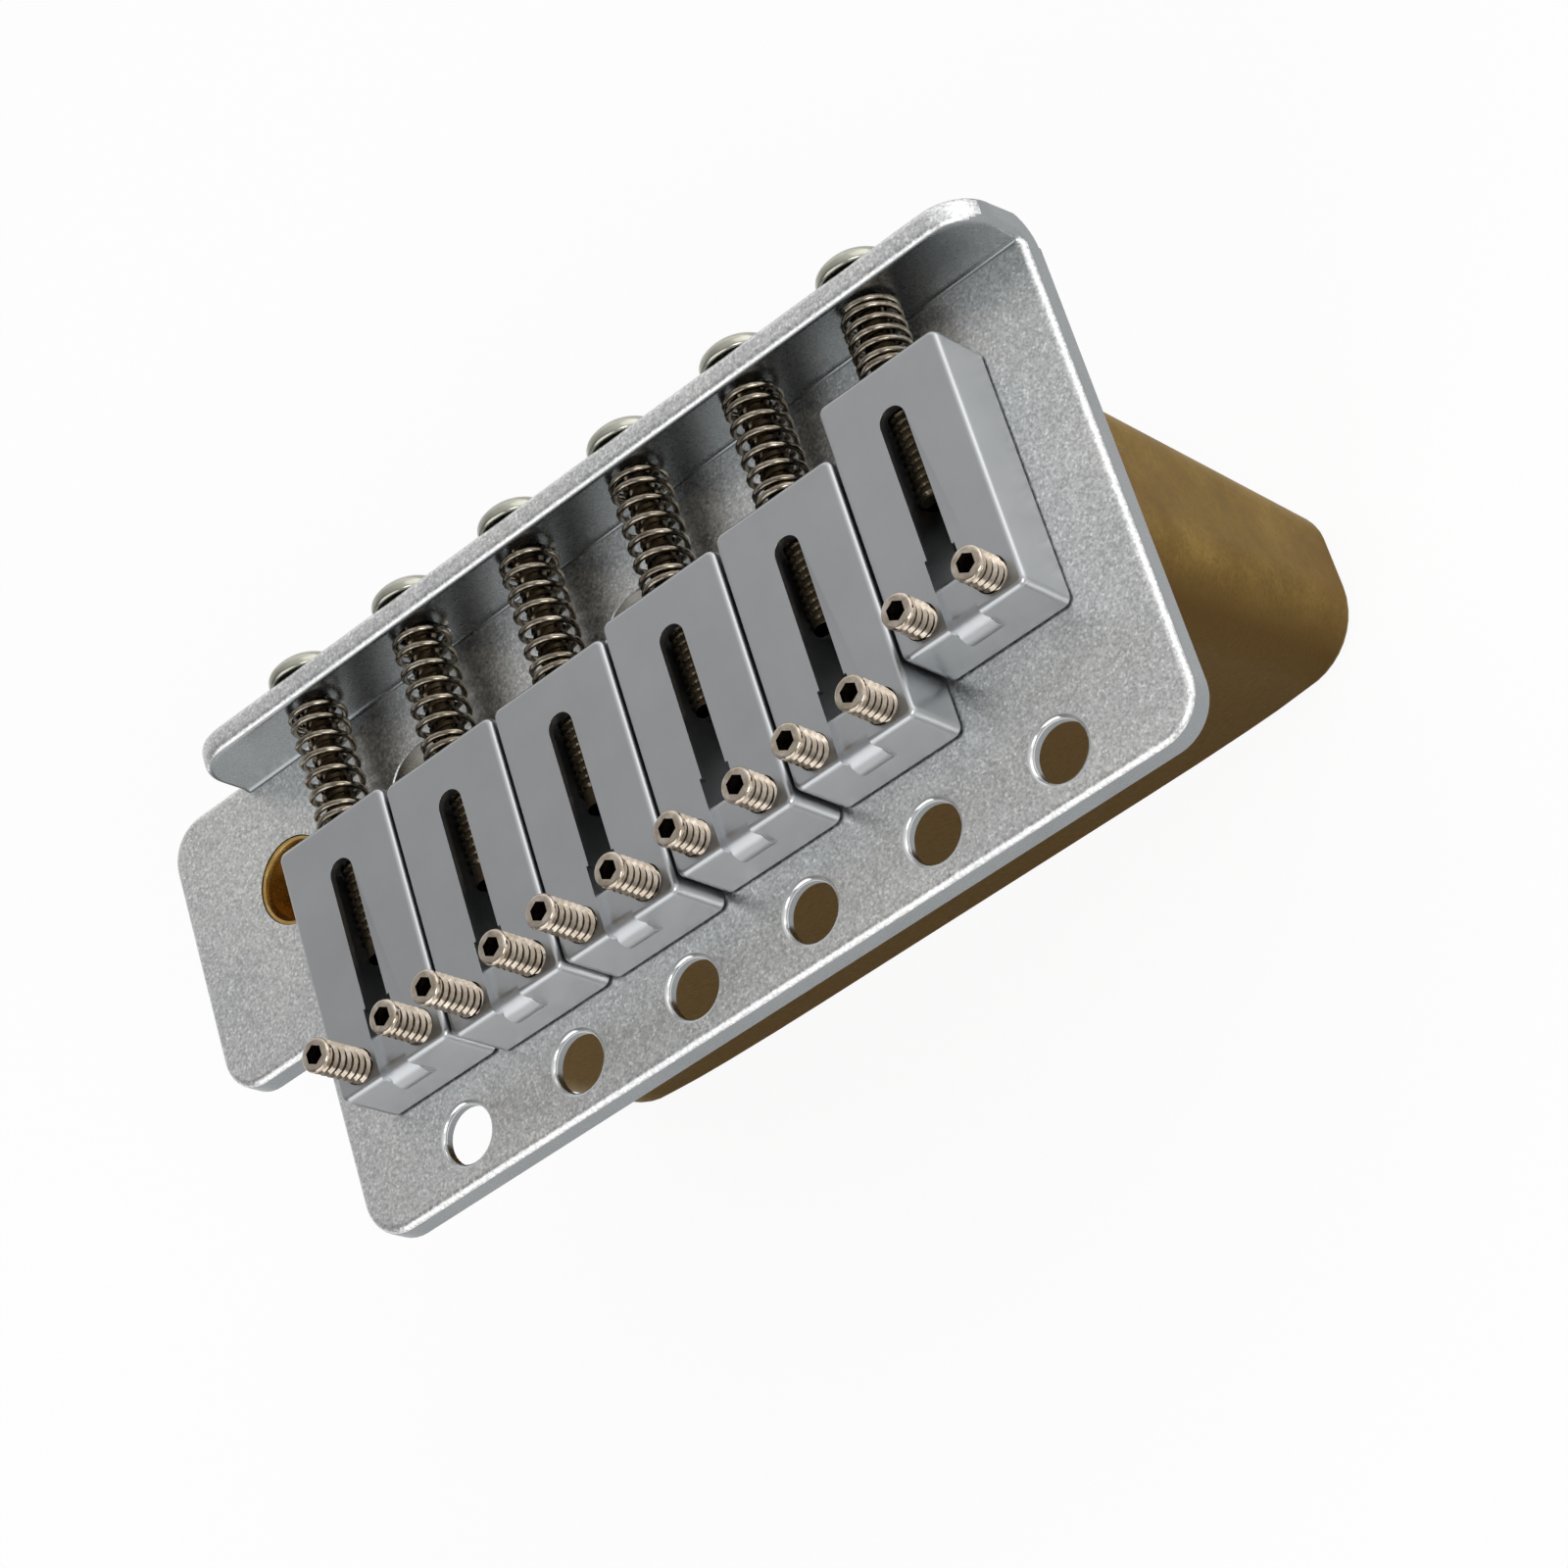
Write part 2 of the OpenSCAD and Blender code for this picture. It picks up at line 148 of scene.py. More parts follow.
def fresh_tree(owner: bpy.types.ID) -> Tree:
    """Turn on the nodes of a material or world and clear them.

    Args:
        owner: The material or world.

    Returns:
        Its empty node tree.
    """
    owner.use_nodes = True
    owner.node_tree.nodes.clear()
    return owner.node_tree


def colour_stops(ramp: bpy.types.Node, stops: Sequence[tuple[float, str]]) -> None:
    """Set the stops of a colour ramp.

    Args:
        ramp: The colour ramp node.
        stops: Places from 0 to 1 with their hex colours, in order.
    """
    elements = ramp.color_ramp.elements
    while len(elements) < len(stops):
        elements.new(0.5)
    for element, (place, code) in zip(elements, stops):
        element.position = place
        element.color = linear(code)


@dataclass(frozen=True)
class MetalFinish:
    """A metal surface with grain, slow stains, painted glints and painted shade where set, and a tint on
    glancing reflections.

    All sizes are in millimetres; tint_patch is how much larger the tint's patches are than the stains.
    """

    name: str
    dark: str
    mid: str
    light: str
    roughness: float
    roughness_swing: float
    stain_size: float
    grain_size: float
    grain_depth: float
    sparkle: float = 0.0
    sparkle_size: float = 0.2
    stretch: Place = (1.0, 1.0, 1.0)
    tint: Optional[str] = None
    tint_share: float = 0.0
    tint_patch: float = 1.7
    grain_share: float = 0.0
    painted_front_shade: Optional[str] = None
    edge_tint: str = "FFFFFF"

    def build(self) -> Material:
        """Make the node material.

        Returns:
            The finished material.
        """
        material = bpy.data.materials.new(self.name)
        tree = fresh_tree(material)
        place = add_node(tree, "TexCoord").outputs
        stretched = add_node(tree, "Mapping", inputs={"Vector": place["Object"], "Scale": self.stretch})
        stain = add_node(tree, "TexNoise", inputs={
            "Vector": place["Object"], "Scale": per_mm(self.stain_size), "Detail": 4.0, "Roughness": 0.6})
        ramp = add_node(tree, "ValToRGB", inputs={"Fac": stain.outputs["Fac"]})
        colour_stops(ramp, [(0.28, self.dark), (0.5, self.mid), (0.72, self.light)])
        colour = ramp.outputs["Color"]
        if self.tint:
            patch = add_node(tree, "TexNoise", inputs={
                "Vector": place["Object"], "Scale": per_mm(self.stain_size * self.tint_patch), "Detail": 5.0,
                "Roughness": 0.65, "Distortion": 0.6})
            share = add_node(tree, "MapRange", inputs={
                "Value": patch.outputs["Fac"], "From Min": 0.5, "From Max": 0.66, "To Max": self.tint_share})
            colour = add_node(tree, "Mix", {"data_type": "RGBA"}, {
                "Factor": share.outputs["Result"], MIX_UNDER: colour,
                MIX_OVER: linear(self.tint)}).outputs[MIX_COLOUR]
        grain = add_node(tree, "TexNoise", inputs={
            "Vector": stretched.outputs["Vector"], "Scale": per_mm(self.grain_size), "Detail": 3.0,
            "Roughness": 0.6}).outputs["Fac"]
        if self.grain_share:
            # the grain's hollows are a little darker and its tops a little lighter
            speck = add_node(tree, "MapRange", inputs={
                "Value": grain, "From Min": 0.32, "From Max": 0.68, "To Min": 1.0 - self.grain_share,
                "To Max": 1.0 + self.grain_share})
            colour = add_node(tree, "VectorMath", {"operation": "SCALE"}, {
                0: colour, "Scale": speck.outputs["Result"]}).outputs[0]
        if self.painted_front_shade:
            # painted shade: the sides that look forward, under the plate, are darkened in the colour
            facing = add_node(tree, "SeparateXYZ", inputs={0: place["Normal"]}).outputs["Y"]
            front_shade_share = add_node(tree, "MapRange", inputs={"Value": facing, "From Min": -0.35, "From Max": -0.85})
            colour = add_node(tree, "Mix", {"data_type": "RGBA"}, {
                "Factor": front_shade_share.outputs["Result"], MIX_UNDER: colour,
                MIX_OVER: linear(self.painted_front_shade)}).outputs[MIX_COLOUR]
        if self.sparkle:
            # painted glints: grit marks brightened in the colour, as though each caught the light
            painted_glint_cells = add_node(tree, "TexVoronoi", inputs={
                "Vector": place["Object"], "Scale": per_mm(self.sparkle_size), "Randomness": 1.0})
            glint = add_node(tree, "MapRange", inputs={
                "Value": painted_glint_cells.outputs["Color"], "From Min": 0.72, "From Max": 1.0, "To Max": self.sparkle})
            colour = add_node(tree, "Mix", {"data_type": "RGBA", "blend_type": "ADD"}, {
                "Factor": glint.outputs["Result"], MIX_UNDER: colour,
                MIX_OVER: linear("FFFFFF")}).outputs[MIX_COLOUR]
        rough = add_node(tree, "MapRange", inputs={
            "Value": grain, "From Min": 0.3, "From Max": 0.7, "To Min": self.roughness - self.roughness_swing,
            "To Max": self.roughness + self.roughness_swing})
        bump = add_node(tree, "Bump", inputs={
            "Height": grain, "Distance": self.grain_depth * MM, "Strength": 1.0})
        shader = add_node(tree, "BsdfPrincipled", inputs={
            "Base Color": colour, "Roughness": rough.outputs["Result"], "Metallic": 1.0,
            "Specular Tint": linear(self.edge_tint), "Normal": bump.outputs["Normal"]})
        add_node(tree, "OutputMaterial", inputs={"Surface": shader.outputs["BSDF"]})
        return material


@dataclass(frozen=True)
class Finishes:
    """Every finish on the bridge, named for the real one, and for painted shade where it carries some."""

    # Satin chrome over a bead-blasted steel plate: pale grey, a lively grain with small painted glints.
    # The real grain is about 0.1 mm and is drawn at 0.2 mm so that it shows.
    plate: MetalFinish = MetalFinish(
        "bead_blasted_satin_chrome", "CDCFCE", "D5D6D5", "DCDCDA", 0.34, 0.06, 9.0, 0.21, 0.016,
        sparkle=0.45, sparkle_size=0.17, grain_share=0.3)
    # Satin chrome over the plate's sheared sides and the flange's inner face, which the blasting left smooth;
    # its darker, slightly blue grey is painted shade.
    plate_side: MetalFinish = MetalFinish(
        "unblasted_satin_chrome_painted_shade", "939799", "989C9E", "9DA0A2", 0.28, 0.03, 6.0, 0.22, 0.004)
    # Chrome burnished bright on the rolled rims of the pivot holes.
    hole_rim: MetalFinish = MetalFinish(
        "burnished_chrome_hole_rim", "D2D3D3", "D8D9D9", "DEDFDF", 0.16, 0.03, 3.0, 0.2, 0.0)
    # Satin chrome over a smooth cast saddle: an even neutral grey with soft, long reflections.
    saddle: MetalFinish = MetalFinish(
        "smooth_satin_chrome_casting", "AEB0B2", "B2B4B6", "B6B8BA", 0.32, 0.02, 6.0, 0.22, 0.0)
    # Raw machined brass that has gone dull: brown gold with reddish patches and fine scratches along the cut;
    # its forward-facing sides under the plate carry painted shade.
    block: MetalFinish = MetalFinish(
        "dull_machined_brass", "6A532C", "7B6234", "8D733F", 0.4, 0.06, 6.0, 0.3, 0.02,
        stretch=(0.7, 1.0, 1.0), tint="6C452A", tint_share=0.3, grain_share=0.24, painted_front_shade="574121",
        edge_tint="FFF3DA")
    # Turned brass, bright and yellow, with a fine grain.
    bushing: MetalFinish = MetalFinish(
        "turned_brass", "B08B48", "C9A762", "DCC07E", 0.3, 0.05, 1.5, 0.2, 0.01)
    # Nickel-plated steel screw: a slightly warm grey, polished.
    block_screw: MetalFinish = MetalFinish(
        "nickel_plated_steel_screw", "A5A29C", "B4B1AA", "C2BFB8", 0.24, 0.04, 1.2, 0.15, 0.005)
    # Nickel-plated rounded screw head: smooth, grey with a touch of olive.
    screw_head: MetalFinish = MetalFinish(
        "nickel_plated_screw_head", "A3A297", "ADACA0", "B8B7AB", 0.2, 0.03, 1.2, 0.15, 0.003)
    # Rolled thread, nickel plated, painted brown and dim for the shade it lies in, with small glints on the
    # crests.
    intonation_screw: MetalFinish = MetalFinish(
        "rolled_thread_nickel_plate_painted_shade", "4E473B", "655C4D", "7F7462", 0.14, 0.04, 1.0, 0.15, 0.004)
    # Nickel-plated spring wire, drawn, a little yellowed.
    spring: MetalFinish = MetalFinish(
        "drawn_nickel_plated_spring_wire", "5A5246", "857C6E", "B5AC9E", 0.12, 0.04, 0.8, 0.12, 0.003)
    # Nickel-plated grub screw: warm light grey on the crests; the roots take the thread root finish, dark
    # with painted shade.
    height_screw: MetalFinish = MetalFinish(
        "nickel_plated_grub_screw", "A09484", "BDB0A0", "DAD0C4", 0.14, 0.04, 0.8, 0.12, 0.003)
    # Painted shade in the roots of the rolled threads: almost black brown, dull.
    thread_root: MetalFinish = MetalFinish(
        "thread_root_painted_shade", "2B231A", "3B3125", "4E4333", 0.5, 0.06, 0.8, 0.12, 0.004)


# Modelling on the bench, in millimetres


def select_only(*pieces: Piece) -> None:
    """Select these objects and nothing else, the last one active.

    Args:
        *pieces: The objects; none deselects everything.
    """
    if bpy.context.object and bpy.context.object.mode != "OBJECT":
        bpy.ops.object.mode_set(mode="OBJECT")
    bpy.ops.object.select_all(action="DESELECT")
    for piece in pieces:
        piece.select_set(True)
        bpy.context.view_layer.objects.active = piece


@contextmanager
def edit(piece: Piece, select: str = "DESELECT", mode: str = "VERT") -> Iterator[None]:
    """Open a piece in edit mode.

    Args:
        piece: The mesh object to edit.
        select: SELECT or DESELECT, what is selected on entry.
        mode: VERT, EDGE or FACE selection.

    Yields:
        Nothing; the piece is in edit mode until the block ends.
    """
    select_only(piece)
    bpy.ops.object.mode_set(mode="EDIT")
    bpy.ops.mesh.select_mode(type=mode)
    bpy.ops.mesh.select_all(action=select)
    yield
    bpy.ops.object.mode_set(mode="OBJECT")


def pick(piece: Piece, kind: str, test: Callable[..., bool]) -> None:
    """Select what passes a test, and nothing else, in edit mode.

    Args:
        piece: The piece being edited.
        kind: EDGE or FACE.
        test: Says whether an edge or a face is wanted.
    """
    bpy.ops.mesh.select_mode(type=kind)
    bpy.ops.mesh.select_all(action="DESELECT")
    mesh = bmesh.from_edit_mesh(piece.data)
    for element in [e for e in (mesh.edges if kind == "EDGE" else mesh.faces) if test(e)]:
        element.select = True
    mesh.select_flush_mode()
    bmesh.update_edit_mesh(piece.data)


def extrude(offset: Place) -> None:
    """Draw the selected faces out."""
    bpy.ops.mesh.extrude_region_move(TRANSFORM_OT_translate={"value": offset})


def bevel(width: float, segments: int, clamp: bool = False) -> None:
    """Round the selected edges."""
    bpy.ops.mesh.bevel(offset=width, segments=segments, affect="EDGES", clamp_overlap=clamp)


def near(value: float, target: float, slack: float = 0.01) -> bool:
    """Whether two lengths agree."""
    return abs(value - target) < slack


def edge_runs(edge: bmesh.types.BMEdge, axis: Axis) -> bool:
    """Whether an edge runs along an axis."""
    run = (edge.verts[1].co - edge.verts[0].co).normalized()
    return abs(getattr(run, axis.value)) > 0.98


def corner_angle(edge: bmesh.types.BMEdge) -> float:
    """Angle between an edge's two faces, in degrees."""
    return math.degrees(edge.calc_face_angle(0.0))


def middle(edge: bmesh.types.BMEdge) -> Vector:
    """Middle of an edge."""
    return (edge.verts[0].co + edge.verts[1].co) / 2


def settle(piece: Piece) -> Piece:
    """Move an object's place, turn and size into its mesh.

    Args:
        piece: The object.

    Returns:
        The same object, now at the origin.
    """
    select_only(piece)
    bpy.ops.object.transform_apply(location=True, rotation=True, scale=True)
    return piece


def shift(piece: Piece, offset: Place) -> Piece:
    """Slide a piece, its new place kept in its mesh.

    Args:
        piece: The piece.
        offset: How far it goes.

    Returns:
        The same piece.
    """
    select_only(piece)
    bpy.ops.transform.translate(value=offset)
    return settle(piece)


def bar(low: Place, high: Place) -> Piece:
    """Add a rectangular bar between two corners.

    Args:
        low: Lowest corner.
        high: Highest corner.

    Returns:
        The bar, its place in its mesh.
    """
    centre = [(a + b) / 2 for a, b in zip(low, high)]
    select_only()
    bpy.ops.mesh.primitive_cube_add(size=1, location=centre, scale=[b - a for a, b in zip(low, high)])
    return settle(bpy.context.object)


def rod(
    radius: float, start: Place, end: Place, sides: int = 48, end_radius: Optional[float] = None
) -> Piece:
    """Add a round rod or cone between two points.

    Args:
        radius: Radius at the start.
        start: Middle of one end.
        end: Middle of the other end.
        sides: Number of flats round it.
        end_radius: Radius at the end, where it differs.

    Returns:
        The rod, its place in its mesh.
    """
    a, b = Vector(start), Vector(end)
    select_only()
    bpy.ops.mesh.primitive_cone_add(
        vertices=sides, radius1=radius, radius2=radius if end_radius is None else end_radius,
        depth=(b - a).length, location=(a + b) / 2, rotation=(b - a).to_track_quat("Z", "Y").to_euler())
    return settle(bpy.context.object)


def post(
    radius: float, x: float, y: float, low: float, high: float, sides: int = 48,
    top_radius: Optional[float] = None
) -> Piece:
    """Add an upright rod or cone."""
    return rod(radius, (x, y, low), (x, y, high), sides, top_radius)


def apply_modifier(piece: Piece, kind: str, **settings: object) -> None:
    """Put a modifier on a piece and apply it.

    Args:
        piece: The mesh object.
        kind: Blender's modifier type.
        **settings: The modifier's own settings.
    """
    select_only(piece)
    modifier = piece.modifiers.new(kind.title(), kind)
    for name, value in settings.items():
        setattr(modifier, name, value)
    bpy.ops.object.modifier_apply(modifier=modifier.name)


def cut(piece: Piece, *tools: Piece, keep: bool = False) -> None:
    """Cut the tools' shapes out of a piece.

    Args:
        piece: The piece that is cut.
        *tools: Closed shapes, which don't cross each other.
        keep: Leave the tools for another cut.
    """
    for tool in tools:
        apply_modifier(piece, "BOOLEAN", operation="DIFFERENCE", solver="MANIFOLD", object=tool)
    if not keep:
        discard(*tools)


def weld_on(piece: Piece, *parts: Piece) -> None:
    """Fuse closed parts onto a piece.

    Args:
        piece: The piece that grows.
        *parts: Closed shapes that reach into it.
    """
    for part in parts:
        apply_modifier(piece, "BOOLEAN", operation="UNION", solver="MANIFOLD", object=part)
    discard(*parts)


def gather(piece: Piece, *parts: Piece) -> Piece:
    """Join closed parts into one object, each still a shell of its own.

    Args:
        piece: The piece that takes the others in.
        *parts: The others.

    Returns:
        The joined piece.
    """
    select_only(*parts, piece)
    bpy.ops.object.join()
    return piece


def one_tool(*tools: Piece) -> Piece:
    """Join tools that stand apart, so that one cut uses them all."""
    return gather(tools[0], *tools[1:]) if len(tools) > 1 else tools[0]


def round_edges(piece: Piece, width: float, segments: int = 3, angle: float = 40.0) -> None:
    """Round every edge that is sharper than an angle.

    Args:
        piece: The mesh object.
        width: Width of the rounding.
        segments: Faces across it.
        angle: Smallest turn, in degrees, that counts as an edge.
    """
    apply_modifier(
        piece, "BEVEL", width=width, segments=segments, limit_method="ANGLE", angle_limit=math.radians(angle),
        use_clamp_overlap=True, miter_outer="MITER_ARC", harden_normals=False)


def cut_to_length(piece: Piece, point: Place, normal: Place) -> None:
    """Saw a piece off at a plane and close the end.

    Args:
        piece: The mesh object.
        point: A point on the plane.
        normal: Direction of the side that is thrown away.
    """
    with edit(piece, "SELECT"):
        bpy.ops.mesh.bisect(plane_co=point, plane_no=normal, use_fill=True, clear_outer=True)


def copy_to(piece: Piece, offset: Place) -> Piece:
    """Copy a piece with its own mesh to another place.

    Args:
        piece: The piece to copy.
        offset: How far the copy is moved.

    Returns:
        The copy, its place in its mesh.
    """
    select_only(piece)
    bpy.ops.object.duplicate()
    return shift(bpy.context.object, offset)


def discard(*pieces: Piece) -> None:
    """Remove tools and patterns that have done their work."""
    for piece in pieces:
        bpy.data.objects.remove(piece, do_unlink=True)


def dress(piece: Piece, material: Material) -> Piece:
    """Give a part on the bench its only material.

    Args:
        piece: The part.
        material: Its finish.

    Returns:
        The same part.
    """
    piece.data.materials.clear()
    piece.data.materials.append(material)
    return piece


def finish_piece(
    piece: Piece, body: str, node: str, material: Optional[Material], smooth: float = 35.0
) -> None:
    """Bring a piece from the bench to its place on the part.

    Args:
        piece: The mesh object, in millimetres.
        body: The CAD body it rides on; an empty name leaves the piece unattached.
        node: The CAD node it stands for.
        material: Its material, or None where its parts are dressed already.
        smooth: Angle in degrees under which faces are shaded as one surface.
    """
    with edit(piece, "SELECT"):
        bpy.ops.mesh.remove_doubles(threshold=0.0005)
        bpy.ops.mesh.normals_make_consistent(inside=False)
        bpy.ops.transform.resize(value=(MM, MM, MM), center_override=(0.0, 0.0, 0.0))
    if material:
        dress(piece, material)
    select_only(piece)
    bpy.ops.object.shade_smooth_by_angle(angle=math.radians(smooth))
    # wide faces keep their own normals, so that a rounding doesn't shade across them
    apply_modifier(piece, "WEIGHTED_NORMAL", keep_sharp=True)
    piece.name = f"{node}_dressed"
    piece.data.name = piece.name
    if body:
        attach(piece, body)
    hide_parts(node)
    select_only()
    log.info("%s: %d faces", piece.name, len(piece.data.polygons))


# The pieces


@dataclass
class BasePlate:
    """The bent steel plate with its rear flange and its arm tab."""

    thickness: float = 2.0
    half_width: float = 36.55
    front_y: float = -3.8
    bend_y: float = 34.05
    bend_r: float = 0.35
    flange_top_z: float = 8.1
    flange_x: tuple[float, float] = (-37.45, 36.45)
    tab_x: float = -45.65
    tab_front_y: float = 12.8
    tab_rear_y: float = 35.4
    front_corner_r: float = 3.4
    tab_corner_r: float = 3.2
    flange_corner_r: float = 3.6
    notch_r: float = 1.5
    rim_r: float = 0.6
    pivot_r: float = 2.1
    pivot_rim_r: float = 0.35
    pivot_bevel: float = 1.1
    string_hole_y: float = 20.4
    string_hole_r: float = 1.5
    screw_hole_r: float = 1.6
    block_screw_r: float = 1.85
    countersink_r: float = 3.51
    countersink_z: float = 0.35
    arm_hole_r: float = 3.34
    edge_r: float = 0.12
    side_slope: float = 0.42
    bend_slope: float = 0.97
    bend_reach: float = 0.45
    pivot_rim_reach: float = 2.6

    def strip(self) -> Piece:
        """Extrude the flat plate from a bar: front strip, body, arm tab and the strip behind it.

        Returns:
            The flat plate with its plan corners and its top rim rounded.
        """
        w, t = self.half_width, self.thickness
        low_x = self.flange_x[0]

        def upright(x: float, y: float) -> Callable[[bmesh.types.BMEdge], bool]:
            """Test for the upright edge at a corner."""
            return lambda e: edge_runs(e, Axis.Z) and near(middle(e).x, x) and near(middle(e).y, y)

        plate = bar((-w, self.front_y, 0), (w, self.tab_front_y, t))
        with edit(plate):
            pick(plate, "FACE", lambda f: f.normal.y > 0.9)
            extrude((0, self.bend_y - self.tab_front_y, 0))
            pick(plate, "FACE", lambda f: f.normal.x < -0.9 and f.calc_center_median().y > self.tab_front_y)
            extrude((self.tab_x + w, 0, 0))
            bpy.ops.mesh.select_all(action="SELECT")
            bpy.ops.mesh.bisect(plane_co=(low_x, 0, 0), plane_no=(1, 0, 0))
            pick(plate, "FACE", lambda f: f.normal.y > 0.9 and f.calc_center_median().x < low_x)
            extrude((0, self.tab_rear_y - self.bend_y, 0))
            bpy.ops.mesh.select_all(action="SELECT")
            bpy.ops.mesh.dissolve_limited(angle_limit=math.radians(1))
            # the strip's end goes a little way under the flange
            pick(plate, "FACE", lambda f: f.normal.x > 0.9 and f.calc_center_median().y > self.bend_y)
            bpy.ops.transform.translate(value=(1.0, 0, 0))
            low_x += 1.0
            for x, y, radius in (
                    (-w, self.front_y, self.front_corner_r), (w, self.front_y, self.front_corner_r),
                    (self.tab_x, self.tab_front_y, self.tab_corner_r),
                    (self.tab_x, self.tab_rear_y, self.tab_corner_r), (-w, self.tab_front_y, self.notch_r)):
                pick(plate, "EDGE", upright(x, y))
                bevel(radius, 10)
            pick(plate, "EDGE", lambda e: corner_angle(e) > 60 and all(near(v.co.z, t) for v in e.verts)
                 and not (near(middle(e).y, self.bend_y)
                          or near(middle(e).x, low_x) and middle(e).y > self.bend_y))
            bevel(self.rim_r, 5)
        return plate

    def flange(self) -> Piece:
        """Spin the rear edge round the bend, draw the flange up and round its ends and rims.

        Returns:
            The flange with a short root that lies in the plate.
        """
        t, top = self.thickness, self.thickness + self.bend_r
        low_x, high_x = self.flange_x
        flange = bar((low_x, self.bend_y - 2, 0), (high_x, self.bend_y, t))
        with edit(flange):
            pick(flange, "FACE", lambda f: f.normal.y > 0.9)
            bpy.ops.mesh.spin(steps=8, angle=math.pi / 2, center=(0, self.bend_y, top), axis=(-1, 0, 0))
            pick(flange, "FACE", lambda f: near(f.calc_center_median().z, top) and abs(f.normal.z) > 0.9)
            extrude((0, 0, self.flange_top_z - top))
            bpy.ops.mesh.select_all(action="SELECT")
            bpy.ops.mesh.remove_doubles(threshold=0.001)
            bpy.ops.mesh.normals_make_consistent(inside=False)
            bpy.ops.mesh.dissolve_limited(angle_limit=math.radians(1))
            pick(flange, "EDGE", lambda e: edge_runs(e, Axis.Y) and near(middle(e).z, self.flange_top_z))
            bevel(self.flange_corner_r, 12)
            pick(flange, "EDGE", lambda e: corner_angle(e) > 60 and middle(e).y > self.bend_y - 1.9 and (
                middle(e).z > top - 0.01 or near(middle(e).z, t)
                or near(math.hypot(middle(e).y - self.bend_y, middle(e).z - top), self.bend_r, 0.05)))
            bevel(self.rim_r, 5)
        holes = [rod(self.screw_hole_r, (x, 30, SCREW_AXIS_Z), (x, 40, SCREW_AXIS_Z), 24) for x in STRING_X]
        cut(flange, one_tool(*holes))
        return flange

    def pivot_tool(self, x: float) -> Piece:
        """Make the tool for a pivot hole, flared at the top so that the hole's rim comes out rolled over.

        Args:
            x: Place of the hole along the row.

        Returns:
            A closed tool.
        """
        rim, steps = self.pivot_rim_r, 5
        radius, level = self.pivot_r, self.thickness - rim
        tool = post(radius, x, 0, -1, level, 40)
        with edit(tool):
            pick(tool, "FACE", lambda f: f.normal.z > 0.9)
            for k in range(1, steps + 1):
                turn = math.pi / 2 * k / steps
                wider = self.pivot_r + rim * (1 - math.cos(turn))
                higher = self.thickness - rim * (1 - math.sin(turn))
                growth = wider / radius
                extrude((0, 0, higher - level))
                bpy.ops.transform.resize(value=(growth, growth, 1), center_override=(x, 0, higher))
                radius, level = wider, higher
            extrude((0, 0, 1))
        return tool

    def drill(self, plate: Piece) -> None:
        """Cut the pivot, string, block screw and arm holes.

        Args:
            plate: The flat plate.
        """
        top, flush = self.thickness + 1, self.thickness + 0.01
        wide = self.pivot_r + self.pivot_bevel + 0.2
        below = [post(wide, x, 0, -0.2, self.pivot_bevel, 40, self.pivot_r) for x in HOLE_X]
        through = [self.pivot_tool(x) for x in HOLE_X]
        through += [post(self.string_hole_r, x, self.string_hole_y, -1, top, 24) for x in STRING_X]
        through += [post(self.block_screw_r, x, y, -1, top, 24) for x, y in BLOCK_SCREW_XY]
        through.append(post(self.arm_hole_r, *ARM_XY, -1, top, 64))
        cones = [post(self.block_screw_r, x, y, self.countersink_z, flush, 40, self.countersink_r)
                 for x, y in BLOCK_SCREW_XY]
        cut(plate, one_tool(*through), one_tool(*below), one_tool(*cones))

    def build(self, blasted: Material, smooth: Material, bright: Material) -> None:
        """Make the whole plate.

        Args:
            blasted: Finish of its faces.
            smooth: Finish of its sheared sides and of the flange's inner face, darker with painted shade.
            bright: Finish of the pivot holes' rims.
        """
        plate = self.strip()
        self.drill(plate)
        weld_on(plate, self.flange())
        round_edges(plate, self.edge_r, 2, 50)
        dress(plate, blasted).data.materials.append(smooth)
        plate.data.materials.append(bright)
        # upright faces take the smooth finish, darker with painted shade; the pivot holes' rims take the
        # burnished one
        for face in plate.data.polygons:
            x, y, z = face.center
            in_bend = self.bend_y < y < self.bend_y + self.bend_reach and z > self.thickness + 0.01
            slope = self.bend_slope if in_bend else self.side_slope
            if abs(face.normal.z) < slope and (face.normal.y < 0.9 or z < self.thickness):
                face.material_index = 1
            from_hole = min(math.hypot(x - hole_x, y) for hole_x in HOLE_X)
            if z > 1 and 0.1 < face.normal.z < 0.99 and from_hole < self.pivot_rim_reach:
                face.material_index = 2
        finish_piece(plate, "bridge_base", "base_plate", None)


